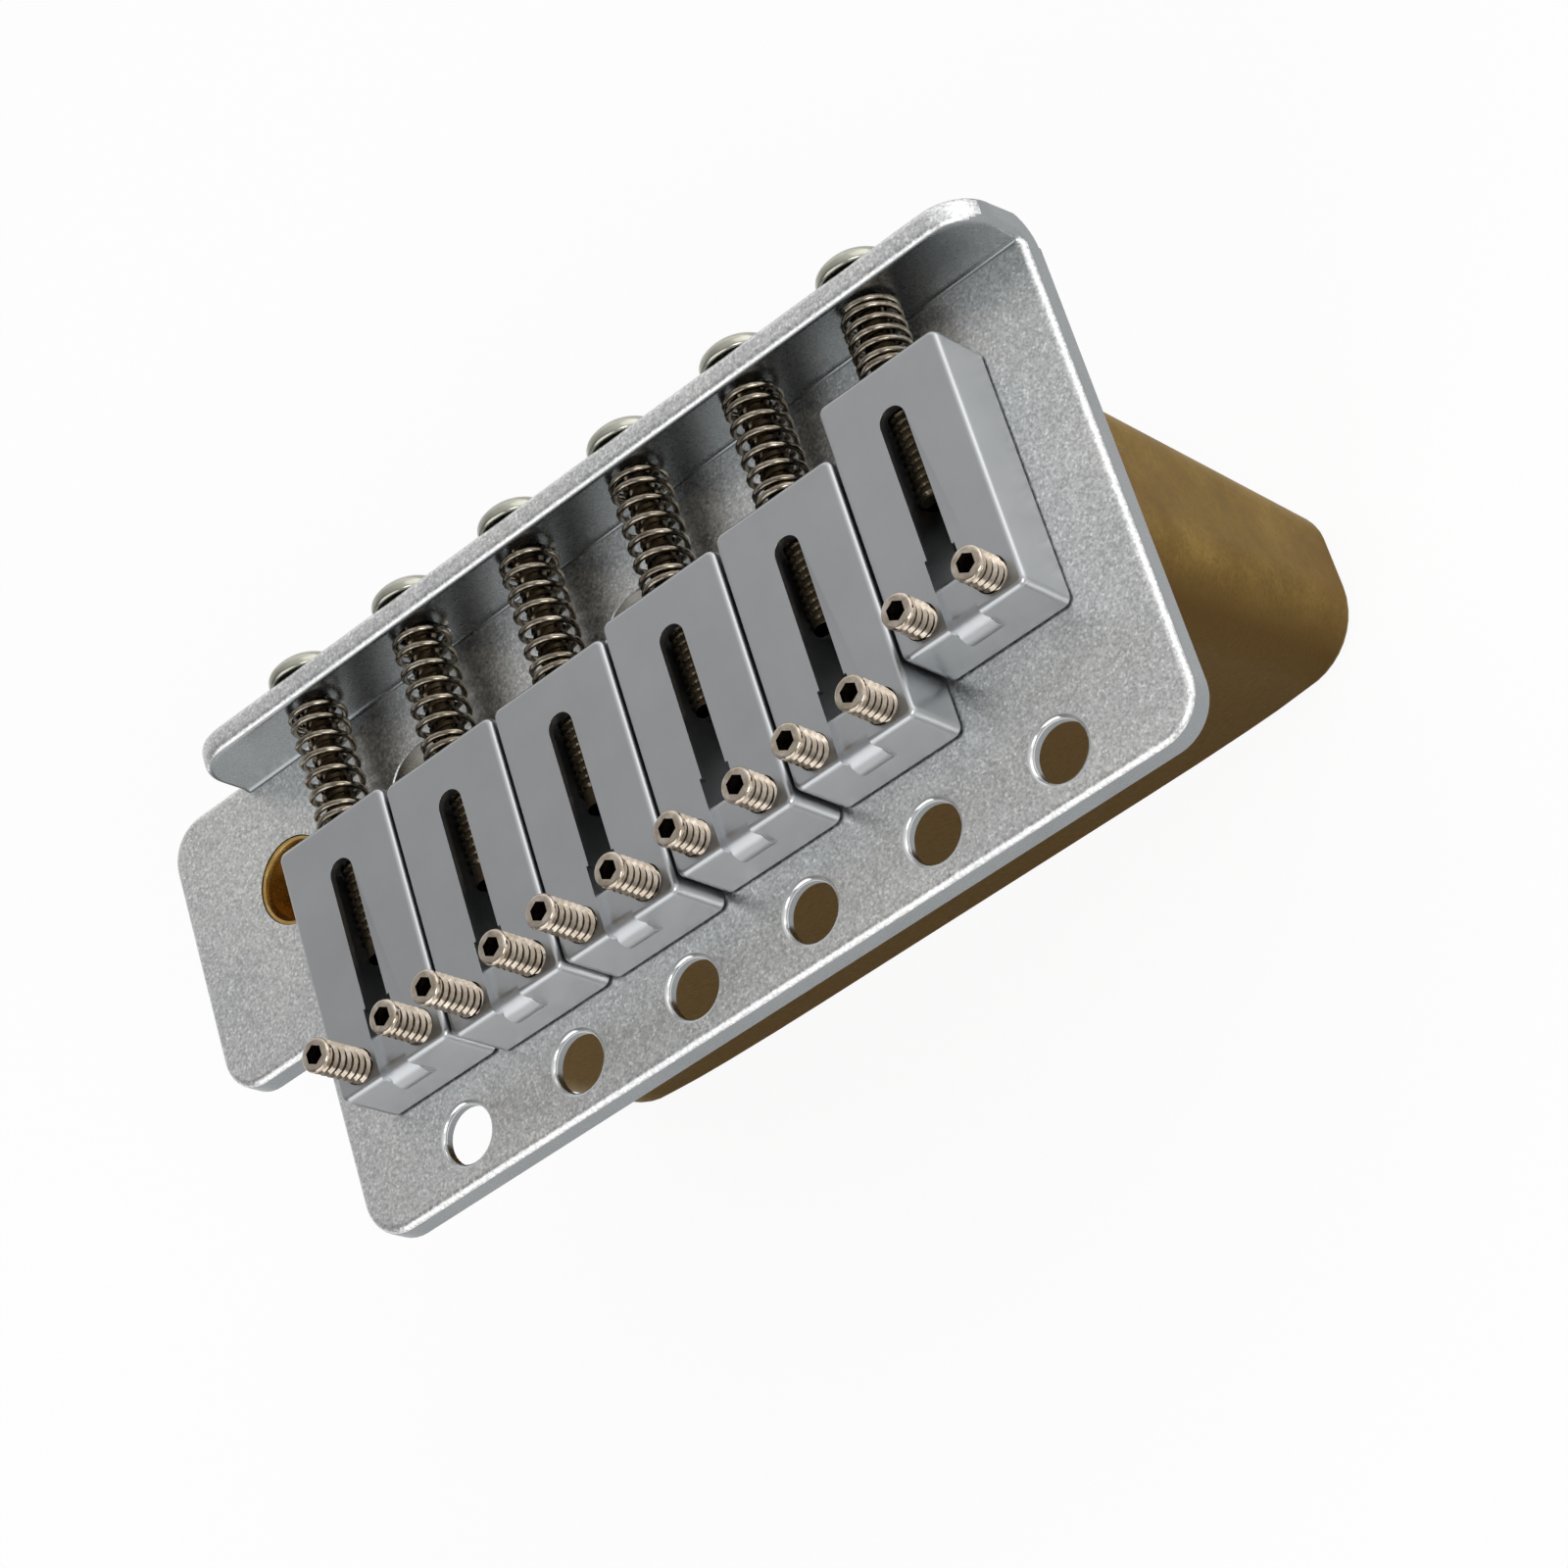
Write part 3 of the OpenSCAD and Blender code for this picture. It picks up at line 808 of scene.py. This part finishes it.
@dataclass
class TremoloBlock:
    """The heavy brass block below the plate, with its string, spring and arm holes."""

    treble_x: float = -41.55
    bass_x: float = 32.0
    front_y: float = 13.4
    foot_front_y: float = 16.6
    rear_y: float = 29.8
    height: float = 39.0
    rear_r: float = 3.5
    front_r: float = 5.5
    foot_r: float = 1.2
    foot_reach: float = 6.0
    edge_r: float = 0.2
    string_y: float = 20.4
    string_r: float = 1.0
    seat_r: float = 2.15
    seat_z: float = -12.0
    claw_y: float = 25.8
    claw_r: float = 1.25
    claw_depth: float = 9.0
    arm_r: float = 3.32
    arm_z: float = -16.4

    def body(self) -> Piece:
        """Shape the leaning block with its rounded edges.

        Returns:
            The block before it is drilled.
        """
        block = bar((self.treble_x, self.front_y, -self.height), (self.bass_x, self.rear_y, 0))
        with edit(block):
            pick(block, "EDGE", lambda e: edge_runs(e, Axis.X) and near(middle(e).y, self.front_y)
                 and near(middle(e).z, -self.height))
            bpy.ops.transform.translate(value=(0, self.foot_front_y - self.front_y, 0))
            pick(block, "EDGE", lambda e: edge_runs(e, Axis.Z) and near(middle(e).y, self.rear_y))
            bevel(self.rear_r, 8)
            pick(block, "EDGE", lambda e: edge_runs(e, Axis.Z) and middle(e).y < self.foot_front_y
                 and (near(middle(e).x, self.treble_x) or near(middle(e).x, self.bass_x)))
            bevel(self.front_r, 10)
            reach = self.foot_reach
            pick(block, "EDGE", lambda e: corner_angle(e) > 40
                 and all(near(v.co.z, -self.height) for v in e.verts)
                 and (middle(e).x < self.treble_x + reach or middle(e).x > self.bass_x - reach))
            bevel(self.foot_r, 5)
        return block

    def drill(self, block: Piece) -> None:
        """Cut the string, spring and arm holes.

        Args:
            block: The shaped block.
        """
        low = -self.height - 1
        tools = []
        for x in STRING_X:
            seat = post(self.seat_r, x, self.string_y, low, self.seat_z, 32)
            weld_on(seat, post(self.string_r, x, self.string_y, self.seat_z - 1, 1, 24))
            tools.append(seat)
        for a, b in zip(STRING_X, STRING_X[1:]):
            tools.append(post(self.claw_r, (a + b) / 2, self.claw_y, low, low + 1 + self.claw_depth, 24))
        tools.append(post(self.arm_r, *ARM_XY, self.arm_z, 1, 48))
        cut(block, one_tool(*tools))

    def build(self, material: Material) -> None:
        """Make the whole block.

        Args:
            material: Its finish.
        """
        block = self.body()
        self.drill(block)
        round_edges(block, self.edge_r, 2, 50)
        finish_piece(block, "bridge_base", "tremolo_block", material)


def threaded_ridge(root: float, crest: float, pitch: float, length: float, steps: int = 14) -> Piece:
    """Wind one ridge of thread up the Z axis from the origin.

    Args:
        root: Radius at which the ridge leaves the core, a little inside it.
        crest: Outer radius.
        pitch: Height of a turn.
        length: Length along the axis.
        steps: Faces to a turn.

    Returns:
        A closed ridge; the core is another shell.
    """
    foot = 0.62 * pitch
    select_only()
    bpy.ops.mesh.primitive_circle_add(
        vertices=3, radius=pitch / 2, fill_type="NOTHING", rotation=(math.pi / 2, 0, 0))
    ridge = settle(bpy.context.object)
    for vertex, corner in zip(ridge.data.vertices, [(root, 0, 0), (root, 0, foot), (crest, 0, foot / 2)]):
        vertex.co = corner
    turns = max(1, int((length - pitch) / pitch))
    apply_modifier(
        ridge, "SCREW", axis="Z", angle=2 * math.pi, screw_offset=pitch, iterations=turns, steps=steps,
        render_steps=steps, use_merge_vertices=False)
    with edit(ridge, "SELECT"):
        bpy.ops.mesh.fill_holes(sides=4)
        bpy.ops.mesh.normals_make_consistent(inside=False)
    return ridge


def hang_below(piece: Piece, level: float) -> None:
    """Slide a piece along Z until its highest point is at a level."""
    shift(piece, (0, 0, level - max(v.co.z for v in piece.data.vertices)))


@dataclass
class ArmBushing:
    """The brass bushing for the tremolo arm, threaded inside."""

    top_z: float = 1.9
    foot_z: float = -16.4
    outer_r: float = 3.3
    bore_r: float = 2.5
    root_r: float = 2.8
    ridge_root_r: float = 2.86
    mouth_foot_r: float = 2.6
    mouth_r: float = 3.05
    mouth_depth: float = 1.6
    pitch: float = 1.0
    edge_r: float = 0.08

    def build(self, material: Material) -> None:
        """Make the bushing with its inner thread.

        Args:
            material: Its finish.
        """
        low, top = self.foot_z, self.top_z
        bushing = post(self.outer_r, *ARM_XY, low, top, 64)
        bore = post(self.root_r, *ARM_XY, low - 1, top + 1, 64)
        mouth = post(self.mouth_foot_r, *ARM_XY, top - self.mouth_depth, top + OVERLAP, 64, self.mouth_r)
        cut(bushing, bore, mouth)
        round_edges(bushing, self.edge_r, 2, 50)
        length = top - self.mouth_depth - low
        thread = threaded_ridge(self.ridge_root_r, self.bore_r, self.pitch, length, 24)
        gather(bushing, shift(thread, (*ARM_XY, low + 0.1)))
        finish_piece(bushing, "bridge_base", "arm_bushing", material)


def cross_tool(width: float, length: float, depth: float) -> Piece:
    """Make the shape that cuts a cross recess, pointing down from the origin.

    Args:
        width: Width of an arm.
        length: Length across both arms, at the top.
        depth: Depth of the recess.

    Returns:
        A closed tool whose arms narrow towards the bottom.
    """
    arms = []
    for x, y, narrower in ((length, width, (0.55, 0.75, 1)), (width, length, (0.75, 0.55, 1))):
        arm = bar((-x / 2, -y / 2, -depth), (x / 2, y / 2, 1.0))
        with edit(arm):
            pick(arm, "FACE", lambda f: f.normal.z < -0.9)
            bpy.ops.transform.resize(value=narrower, center_override=(0.0, 0.0, -depth))
        arms.append(arm)
    weld_on(arms[0], arms[1])
    return arms[0]


@dataclass
class BlockScrews:
    """The three flat-headed screws that hold the block to the plate."""

    head_r: float = 3.4
    shank_r: float = 1.75
    core_r: float = 1.55
    ridge_root_r: float = 1.5
    length: float = 11.0
    pitch: float = 0.7
    plate_top: float = 2.0
    cross: tuple[float, float, float] = (0.8, 3.4, 1.4)
    edge_r: float = 0.08

    def one(self) -> Piece:
        """Make one screw with its head at the origin's plane.

        Returns:
            The screw, its head flush with z = 0.
        """
        cone = self.head_r - self.shank_r
        head = post(self.shank_r, 0, 0, -cone, 0, 48, self.head_r)
        weld_on(head, post(self.core_r, 0, 0, -self.length, -cone + 0.4, 32))
        cut(head, cross_tool(*self.cross))
        round_edges(head, self.edge_r, 2, 40)
        ridge = threaded_ridge(self.ridge_root_r, self.shank_r, self.pitch, self.length - cone - 0.6)
        return gather(head, shift(ridge, (0, 0, -self.length + 0.3)))

    def build(self, material: Material) -> None:
        """Make all three screws as one piece.

        Args:
            material: Their finish.
        """
        pattern = self.one()
        copies = [copy_to(pattern, (x, y, self.plate_top)) for x, y in BLOCK_SCREW_XY]
        discard(pattern)
        screws = gather(copies[0], *copies[1:])
        finish_piece(screws, "bridge_base", "block_screws", material)


@dataclass
class Saddles:
    """The row of six box saddles, modelled once."""

    width: float = 10.28
    length: float = 20.3
    height: float = 5.25
    low_z: float = 2.15
    corner_r: float = 0.7
    rim_r: float = 0.42
    lower_rim_r: float = 0.2
    edge_r: float = 0.13
    slot_w: float = 2.1
    slot_back: float = 3.3
    slot_rim_r: float = 0.24
    roof: float = 0.55
    channel_w: float = 3.2
    front_wall: float = 3.9
    rest_w: float = 2.5
    rest_channel: float = 5.5
    rest_drop: float = 0.55
    rest_r: float = 1.5
    rest_proud: float = 0.3
    shelf_r: float = 0.7
    height_hole_r: float = 1.3
    height_hole_gap: float = 5.8
    height_hole_in: float = 1.9
    screw_hole_r: float = 1.3

    def body(self) -> Piece:
        """Round a bar's upright corners, its top rim and its lower rim.

        Returns:
            The saddle before it is cut, its front face at y = 0.
        """
        w, h = self.width / 2, self.height
        saddle = bar((-w, 0, 0), (w, self.length, h))
        with edit(saddle):
            pick(saddle, "EDGE", lambda e: edge_runs(e, Axis.Z))
            bevel(self.corner_r, 6)
            pick(saddle, "EDGE", lambda e: corner_angle(e) > 60 and all(near(v.co.z, h) for v in e.verts))
            bevel(self.rim_r, 6)
            pick(saddle, "EDGE", lambda e: corner_angle(e) > 60 and all(near(v.co.z, 0) for v in e.verts))
            bevel(self.lower_rim_r, 2)
        return saddle

    def string_rest(self, saddle: Piece) -> None:
        """Open the channel for the string and lay the rounded rest across its front.

        Args:
            saddle: The rounded bar.
        """
        h, half = self.height, self.rest_w / 2
        low = h - self.rest_drop - self.rest_r
        cut(saddle, bar((-half, -1, low), (half, self.rest_channel, h + 1)))
        side, middle_y = half + OVERLAP, self.rest_r - self.rest_proud
        ridge = rod(self.rest_r, (-side, middle_y, low), (side, middle_y, low), 56)
        cut_to_length(ridge, (0, 0, low - 1.2), (0, 0, -1))
        shelf = bar((-side, middle_y, low - 0.5), (side, self.front_wall, h - self.rest_drop))
        with edit(shelf):
            pick(shelf, "EDGE", lambda e: edge_runs(e, Axis.X) and near(middle(e).y, self.front_wall)
                 and middle(e).z > low)
            bevel(self.shelf_r, 6)
        weld_on(saddle, ridge, shelf)

    def cuts(self, saddle: Piece) -> None:
        """Cut the slot, the screw's channel and the threaded holes.

        Args:
            saddle: The saddle with its string rest.
        """
        h, slot_r = self.height, self.slot_w / 2
        back = self.length - self.slot_back
        slot = bar((-slot_r, self.front_wall, -1), (slot_r, back - slot_r, h + 1))
        weld_on(slot, post(slot_r, 0, back - slot_r, -1, h + 1, 32))
        channel = bar((-self.channel_w / 2, self.front_wall, -1), (self.channel_w / 2, back, h - self.roof))
        z = SCREW_AXIS_Z - self.low_z
        bore = rod(self.screw_hole_r, (0, back - 1, z), (0, self.length + 1, z), 32)
        holes = [post(self.height_hole_r, s * self.height_hole_gap / 2, self.height_hole_in, -1, h + 1, 32)
                 for s in (-1, 1)]
        cut(saddle, slot, channel, bore, one_tool(*holes))
        with edit(saddle):
            # the upper rims of the slot and of the string's channel are rolled over
            pick(saddle, "EDGE", lambda e: corner_angle(e) > 60 and all(
                near(v.co.z, h) and abs(v.co.x) < 1.5 and v.co.y > self.rim_r - 0.01 for v in e.verts))
            bevel(self.slot_rim_r, 3, clamp=True)

    def build(self, material: Material) -> None:
        """Make the pattern saddle and copy it under each string.

        Args:
            material: Their finish.
        """
        pattern = self.body()
        self.string_rest(pattern)
        self.cuts(pattern)
        round_edges(pattern, self.edge_r, 3, 45)
        for i, (x, rear) in enumerate(zip(STRING_X, SADDLE_REAR_Y), 1):
            saddle = copy_to(pattern, (x, rear - self.length, self.low_z))
            finish_piece(saddle, f"saddle_unit_{i}", f"saddle_{i}", material)
        discard(pattern)


@dataclass(frozen=True)
class ScrewMetals:
    """Materials of a kind of screw: its thread's ridge and top, the roots of the thread, darkened with
    painted shade, and its head.
    """

    crest: Material
    root: Material
    head: Optional[Material] = None


@dataclass
class HeightScrews:
    """The twelve socket-headed grub screws, modelled once and cut to length."""

    radius: float = 1.25
    root_r: float = 1.0
    ridge_root_r: float = 0.96
    pitch: float = 0.635
    longest: float = 10.4
    socket_w: float = 1.3
    socket_depth: float = 1.4
    dimple_r: float = 0.6
    dimple_tip_r: float = 0.02
    dimple_depth: float = 0.35
    top_h: float = 0.34
    top_rim_r: float = 0.24
    top_foot_r: float = 0.1
    foot_z: float = 2.15
    saddle_h: float = 5.25
    gap: float = 5.8
    from_front: float = 1.9
    saddle_l: float = 20.3
    bass_proud: tuple[float, ...] = (2.75, 3.45, 2.75, 3.9, 4.05, 3.65)
    treble_proud: tuple[float, ...] = (2.75, 3.0, 2.95, 4.4, 4.6, 4.4)

    def pattern(self, metals: ScrewMetals) -> Piece:
        """Make the longest screw, its top at the origin, hanging down.

        Args:
            metals: Its materials.

        Returns:
            The screw with its thread and its socket.
        """
        core = post(self.root_r, 0, 0, -self.longest, -0.2, 32)
        top = post(self.radius, 0, 0, -self.top_h, 0, 32)
        with edit(top):
            for level, width, segments in ((0, self.top_rim_r, 3), (-self.top_h, self.top_foot_r, 2)):
                pick(top, "EDGE", lambda e: all(near(v.co.z, level) for v in e.verts))
                bevel(width, segments)
        socket = post(self.socket_w / math.sqrt(3), 0, 0, -self.socket_depth, 1, 6)
        cut(top, socket, keep=True)
        cut(core, socket)
        floor = -self.socket_depth
        cut(core, post(self.dimple_tip_r, 0, 0, floor - self.dimple_depth, floor + 0.05, 16, self.dimple_r))
        ridge = threaded_ridge(self.ridge_root_r, self.radius, self.pitch, self.longest - 0.3, 16)
        hang_below(ridge, -0.28)
        # the core shows in the thread's roots, its dark colour painted shade
        dress(core, metals.root)
        dress(top, metals.crest)
        dress(ridge, metals.crest)
        return gather(core, ridge, top)

    def build(self, metals: ScrewMetals) -> None:
        """Copy the pattern into each saddle and cut the feet level.

        Args:
            metals: Their materials.
        """
        pattern = self.pattern(metals)
        for i, (x, rear) in enumerate(zip(STRING_X, SADDLE_REAR_Y)):
            for side, sign, proud in (("bass", 1, self.bass_proud[i]), ("treble", -1, self.treble_proud[i])):
                y = rear - self.saddle_l + self.from_front
                top = self.foot_z + self.saddle_h + proud
                screw = copy_to(pattern, (x + sign * self.gap / 2, y, top))
                cut_to_length(screw, (0, 0, self.foot_z), (0, 0, -1))
                finish_piece(screw, f"height_{side}_unit_{i + 1}", f"height_screw_{i + 1}_{side}",
                             None, 30)
        discard(pattern)


@dataclass
class IntonationScrews:
    """The six pan-headed screws through the flange, modelled once and cut to length."""

    radius: float = 1.25
    root_r: float = 1.0
    ridge_root_r: float = 0.96
    pitch: float = 0.635
    lengths: tuple[float, ...] = (18.0, 21.5, 21.5, 23.0, 23.0, 23.0)
    seat_y: float = 36.6
    head_r: float = 2.85
    head_h: float = 2.04
    head_rim: float = 0.75
    head_rim_r: float = 0.55
    seat_rim_r: float = 0.28
    edge_r: float = 0.08
    cross: tuple[float, float, float] = (0.7, 2.9, 1.5)

    def head(self) -> Piece:
        """Saw a dome from a ball, draw its rim down and cut the cross recess.

        Returns:
            The head, its seat at z = 0, its dome up.
        """
        dome = self.head_h - self.head_rim
        ball_r = (self.head_r**2 + dome**2) / (2 * dome)
        select_only()
        bpy.ops.mesh.primitive_uv_sphere_add(
            segments=48, ring_count=48, radius=ball_r, location=(0, 0, self.head_h - ball_r))
        head = settle(bpy.context.object)
        cut_to_length(head, (0, 0, self.head_rim), (0, 0, -1))
        with edit(head):
            pick(head, "FACE", lambda f: f.normal.z < -0.9)
            extrude((0, 0, -self.head_rim))
            bpy.ops.mesh.select_all(action="SELECT")
            bpy.ops.mesh.normals_make_consistent(inside=False)
        tool = shift(cross_tool(*self.cross), (0, 0, self.head_h))
        with edit(head):
            pick(head, "EDGE", lambda e: near(e.verts[0].co.z, e.verts[1].co.z)
                 and near(e.verts[0].co.z, self.head_rim))
            bevel(self.head_rim_r, 6, clamp=True)
            pick(head, "EDGE", lambda e: all(near(v.co.z, 0) for v in e.verts) and corner_angle(e) > 60)
            bevel(self.seat_rim_r, 4, clamp=True)
        cut(head, tool)
        round_edges(head, self.edge_r, 2, 50)
        return head

    def pattern(self, metals: ScrewMetals) -> Piece:
        """Make the longest screw along Z, its seat at the origin.

        Args:
            metals: Its materials.

        Returns:
            Head, core and thread in one object.
        """
        longest = max(self.lengths)
        core = post(self.root_r, 0, 0, -longest, 0.2, 32)
        ridge = threaded_ridge(self.ridge_root_r, self.radius, self.pitch, longest - 0.4)
        hang_below(ridge, -0.2)
        # the core shows in the thread's roots, its dark colour painted shade
        dress(core, metals.root)
        dress(ridge, metals.crest)
        return gather(dress(self.head(), metals.head), core, ridge)

    def build(self, metals: ScrewMetals) -> None:
        """Lay the pattern behind each saddle and cut its tip to length.

        Args:
            metals: Their materials.
        """
        pattern = self.pattern(metals)
        with edit(pattern, "SELECT"):
            # from up to rearward: +Z turns to +Y
            turned = Matrix.Rotation(-math.pi / 2, 4, "X")
            mesh = bmesh.from_edit_mesh(pattern.data)
            bmesh.ops.transform(mesh, matrix=turned, verts=mesh.verts)
            bmesh.update_edit_mesh(pattern.data)
        for i, (x, length) in enumerate(zip(STRING_X, self.lengths), 1):
            screw = copy_to(pattern, (x, self.seat_y, SCREW_AXIS_Z))
            cut_to_length(screw, (0, self.seat_y - length, 0), (0, -1, 0))
            finish_piece(screw, f"screw_unit_{i}", f"intonation_screw_{i}", None, 30)
        discard(pattern)


@dataclass
class Springs:
    """The six compression springs round the intonation screws, with closed end coils.

    closed_pitch is the closed coils' spacing in wire widths; flat_end is not used.
    """

    coil_r: float = 1.93
    wire_r: float = 0.24
    flange_y: float = 34.4
    seat_gap: float = 0.05
    flange_gap: float = 0.14
    turns: tuple[float, ...] = (6.3, 7.6, 7.6, 7.9, 7.9, 7.7)
    points_per_turn: int = 20
    closed_pitch: float = 1.06
    flat_end: float = 2.2

    def path(self, turns: float, low: float, high: float) -> list[Vector]:
        """Points along the wire's middle line.

        Args:
            turns: Coils, the closed end ones included.
            low: Front end of the spring.
            high: Rear end of the spring.

        Returns:
            Points about the Y axis; the end coils lie close, the others are spread evenly.
        """
        wire = 2 * self.wire_r * self.closed_pitch
        count = int(turns * self.points_per_turn)
        span = high - low - 2 * self.wire_r
        points = []
        for k in range(count + 1):
            t = turns * k / count
            if t <= 1:
                along = wire * t
            elif t >= turns - 1:
                along = span - wire * (turns - t)
            else:
                along = wire + (span - 2 * wire) * (t - 1) / (turns - 2)
            a = 2 * math.pi * t
            y = low + self.wire_r + along
            points.append(Vector((self.coil_r * math.cos(a), y, self.coil_r * math.sin(a))))
        return points

    def build(self, material: Material) -> None:
        """Wind the wires between flange and saddle and make them meshes.

        Args:
            material: Their finish.
        """
        for i, (x, rear, turns) in enumerate(zip(STRING_X, SADDLE_REAR_Y, self.turns), 1):
            low, high = rear + self.seat_gap, self.flange_y - self.flange_gap
            curve = bpy.data.curves.new(f"wire_{i}", "CURVE")
            curve.dimensions = "3D"
            curve.bevel_depth = self.wire_r
            curve.bevel_resolution = 3
            curve.use_fill_caps = True
            spline = curve.splines.new("POLY")
            points = self.path(turns, low, high)
            spline.points.add(len(points) - 1)
            for point, place in zip(spline.points, points):
                point.co = (x + place.x, place.y, SCREW_AXIS_Z + place.z, 1.0)
            wire = bpy.data.objects.new(f"wire_{i}", curve)
            bpy.context.scene.collection.objects.link(wire)
            select_only(wire)
            bpy.ops.object.convert(target="MESH")
            spring = bpy.context.object
            finish_piece(spring, "", f"intonation_spring_{i}", material, 60)
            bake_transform(spring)


# Studio and camera


@dataclass
class Studio:
    """A white floor and world, soft lamps, and the camera at the photograph's place."""

    floor_z: float = -0.0391
    camera_place: Place = (0.1382967, -0.1306547, 0.2251722)
    camera_right: Place = (0.74264816, -0.27175006, -0.61206668)
    camera_down: Place = (-0.49106500, -0.84241008, -0.22181166)
    camera_ahead: Place = (-0.45533381, 0.46529255, -0.75906124)
    lens: float = 102.35
    lens_shift: tuple[float, float] = (0.005528, 0.034422)
    lamp_aim: Place = (0.0, 0.015, 0.0)
    brighter_side: Place = (0.5, 0.36, 0.0)
    least_light: float = 0.05
    floor_size: float = 6.0
    floor_glow: float = 0.9
    lamps: tuple[tuple[str, Place, float, float], ...] = (
        ("front_left_softbox", (-0.36, -0.61, 0.37), 0.75, 2.5),
        ("rear_right_softbox", (0.61, 0.37, 0.36), 0.60, 0.7),
        ("front_right_box", (0.47, -0.47, 0.50), 0.35, 1.8),
    )

    def camera(self) -> None:
        """Place the camera."""
        data = bpy.data.cameras.new("photograph_camera")
        data.sensor_width = 36
        data.lens = self.lens
        data.shift_x, data.shift_y = self.lens_shift
        data.clip_start = 0.01
        camera = bpy.data.objects.new("photograph_camera", data)
        rows = [Vector(self.camera_right), -Vector(self.camera_down), -Vector(self.camera_ahead)]
        turn = Matrix(rows).transposed().to_4x4()
        camera.matrix_world = Matrix.Translation(self.camera_place) @ turn
        bpy.context.scene.collection.objects.link(camera)
        bpy.context.scene.camera = camera

    def floor(self) -> None:
        """Lay the white floor: bright where it is looked at, plain shaded paper where metal mirrors it."""
        select_only()
        bpy.ops.mesh.primitive_plane_add(size=self.floor_size, location=(0, 0, self.floor_z))
        floor = bpy.context.object
        floor.name = "floor"
        material = bpy.data.materials.new("white_paper_sweep")
        tree = fresh_tree(material)
        paper = add_node(tree, "BsdfDiffuse", inputs={"Color": linear("F4F4F4")})
        glow = add_node(tree, "Emission", inputs={"Color": linear("FFFFFF"), "Strength": 1.0})
        share = add_node(tree, "Math", {"operation": "MULTIPLY"}, {
            0: add_node(tree, "LightPath").outputs["Is Camera Ray"], 1: self.floor_glow})
        mix = add_node(tree, "MixShader", inputs={
            "Fac": share.outputs[0], 1: paper.outputs["BSDF"], 2: glow.outputs["Emission"]})
        add_node(tree, "OutputMaterial", inputs={"Surface": mix.outputs["Shader"]})
        floor.data.materials.append(material)

    def world(self) -> None:
        """White where it is seen, a softer even light where it lights."""
        world = bpy.data.worlds.new("white_room")
        tree = fresh_tree(world)
        way = add_node(tree, "TexCoord").outputs["Generated"]
        height = add_node(tree, "SeparateXYZ", inputs={0: way}).outputs["Z"]
        room = add_node(tree, "MapRange", inputs={
            "Value": height, "From Max": 0.75, "To Min": 1.0, "To Max": 0.6})
        side = add_node(tree, "VectorMath", {"operation": "DOT_PRODUCT"}, {0: way, 1: self.brighter_side})
        lit = add_node(tree, "Math", inputs={
            0: room.outputs["Result"], 1: side.outputs["Value"]}).outputs[0]
        least = add_node(tree, "Math", {"operation": "MAXIMUM"}, {0: lit, 1: self.least_light}).outputs[0]
        strength = add_node(tree, "MapRange", inputs={
            "Value": add_node(tree, "LightPath").outputs["Is Camera Ray"], "To Min": least, "To Max": 1.0})
        light = add_node(tree, "Background", inputs={
            "Color": linear("FFFFFF"), "Strength": strength.outputs["Result"]})
        add_node(tree, "OutputWorld", inputs={"Surface": light.outputs["Background"]})
        bpy.context.scene.world = world

    def light(self) -> None:
        """Hang the soft lamps, each aimed at the bridge."""
        for name, place, size, power in self.lamps:
            data = bpy.data.lights.new(name, "AREA")
            data.shape = "SQUARE"
            data.size = size
            data.energy = power
            lamp = bpy.data.objects.new(name, data)
            lamp.location = place
            lamp.rotation_euler = (Vector(self.lamp_aim) - Vector(place)).to_track_quat("-Z", "Y").to_euler()
            bpy.context.scene.collection.objects.link(lamp)

    def build(self) -> None:
        """Set up the whole studio."""
        self.camera()
        self.floor()
        self.world()
        self.light()
        bpy.context.scene.view_settings.view_transform = "Standard"


def main() -> None:
    """Build and dress the bridge, piece by piece."""
    logging.basicConfig(level=logging.INFO, format="%(message)s", stream=sys.stdout)
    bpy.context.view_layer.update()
    select_only()
    Studio().build()
    finishes = Finishes()
    BasePlate().build(finishes.plate.build(), finishes.plate_side.build(), finishes.hole_rim.build())
    TremoloBlock().build(finishes.block.build())
    ArmBushing().build(finishes.bushing.build())
    BlockScrews().build(finishes.block_screw.build())
    Saddles().build(finishes.saddle.build())
    thread_root = finishes.thread_root.build()
    HeightScrews().build(ScrewMetals(finishes.height_screw.build(), thread_root))
    IntonationScrews().build(ScrewMetals(
        finishes.intonation_screw.build(), thread_root, finishes.screw_head.build()))
    Springs().build(finishes.spring.build())
    select_only()


if __name__ == "__main__":
    main()
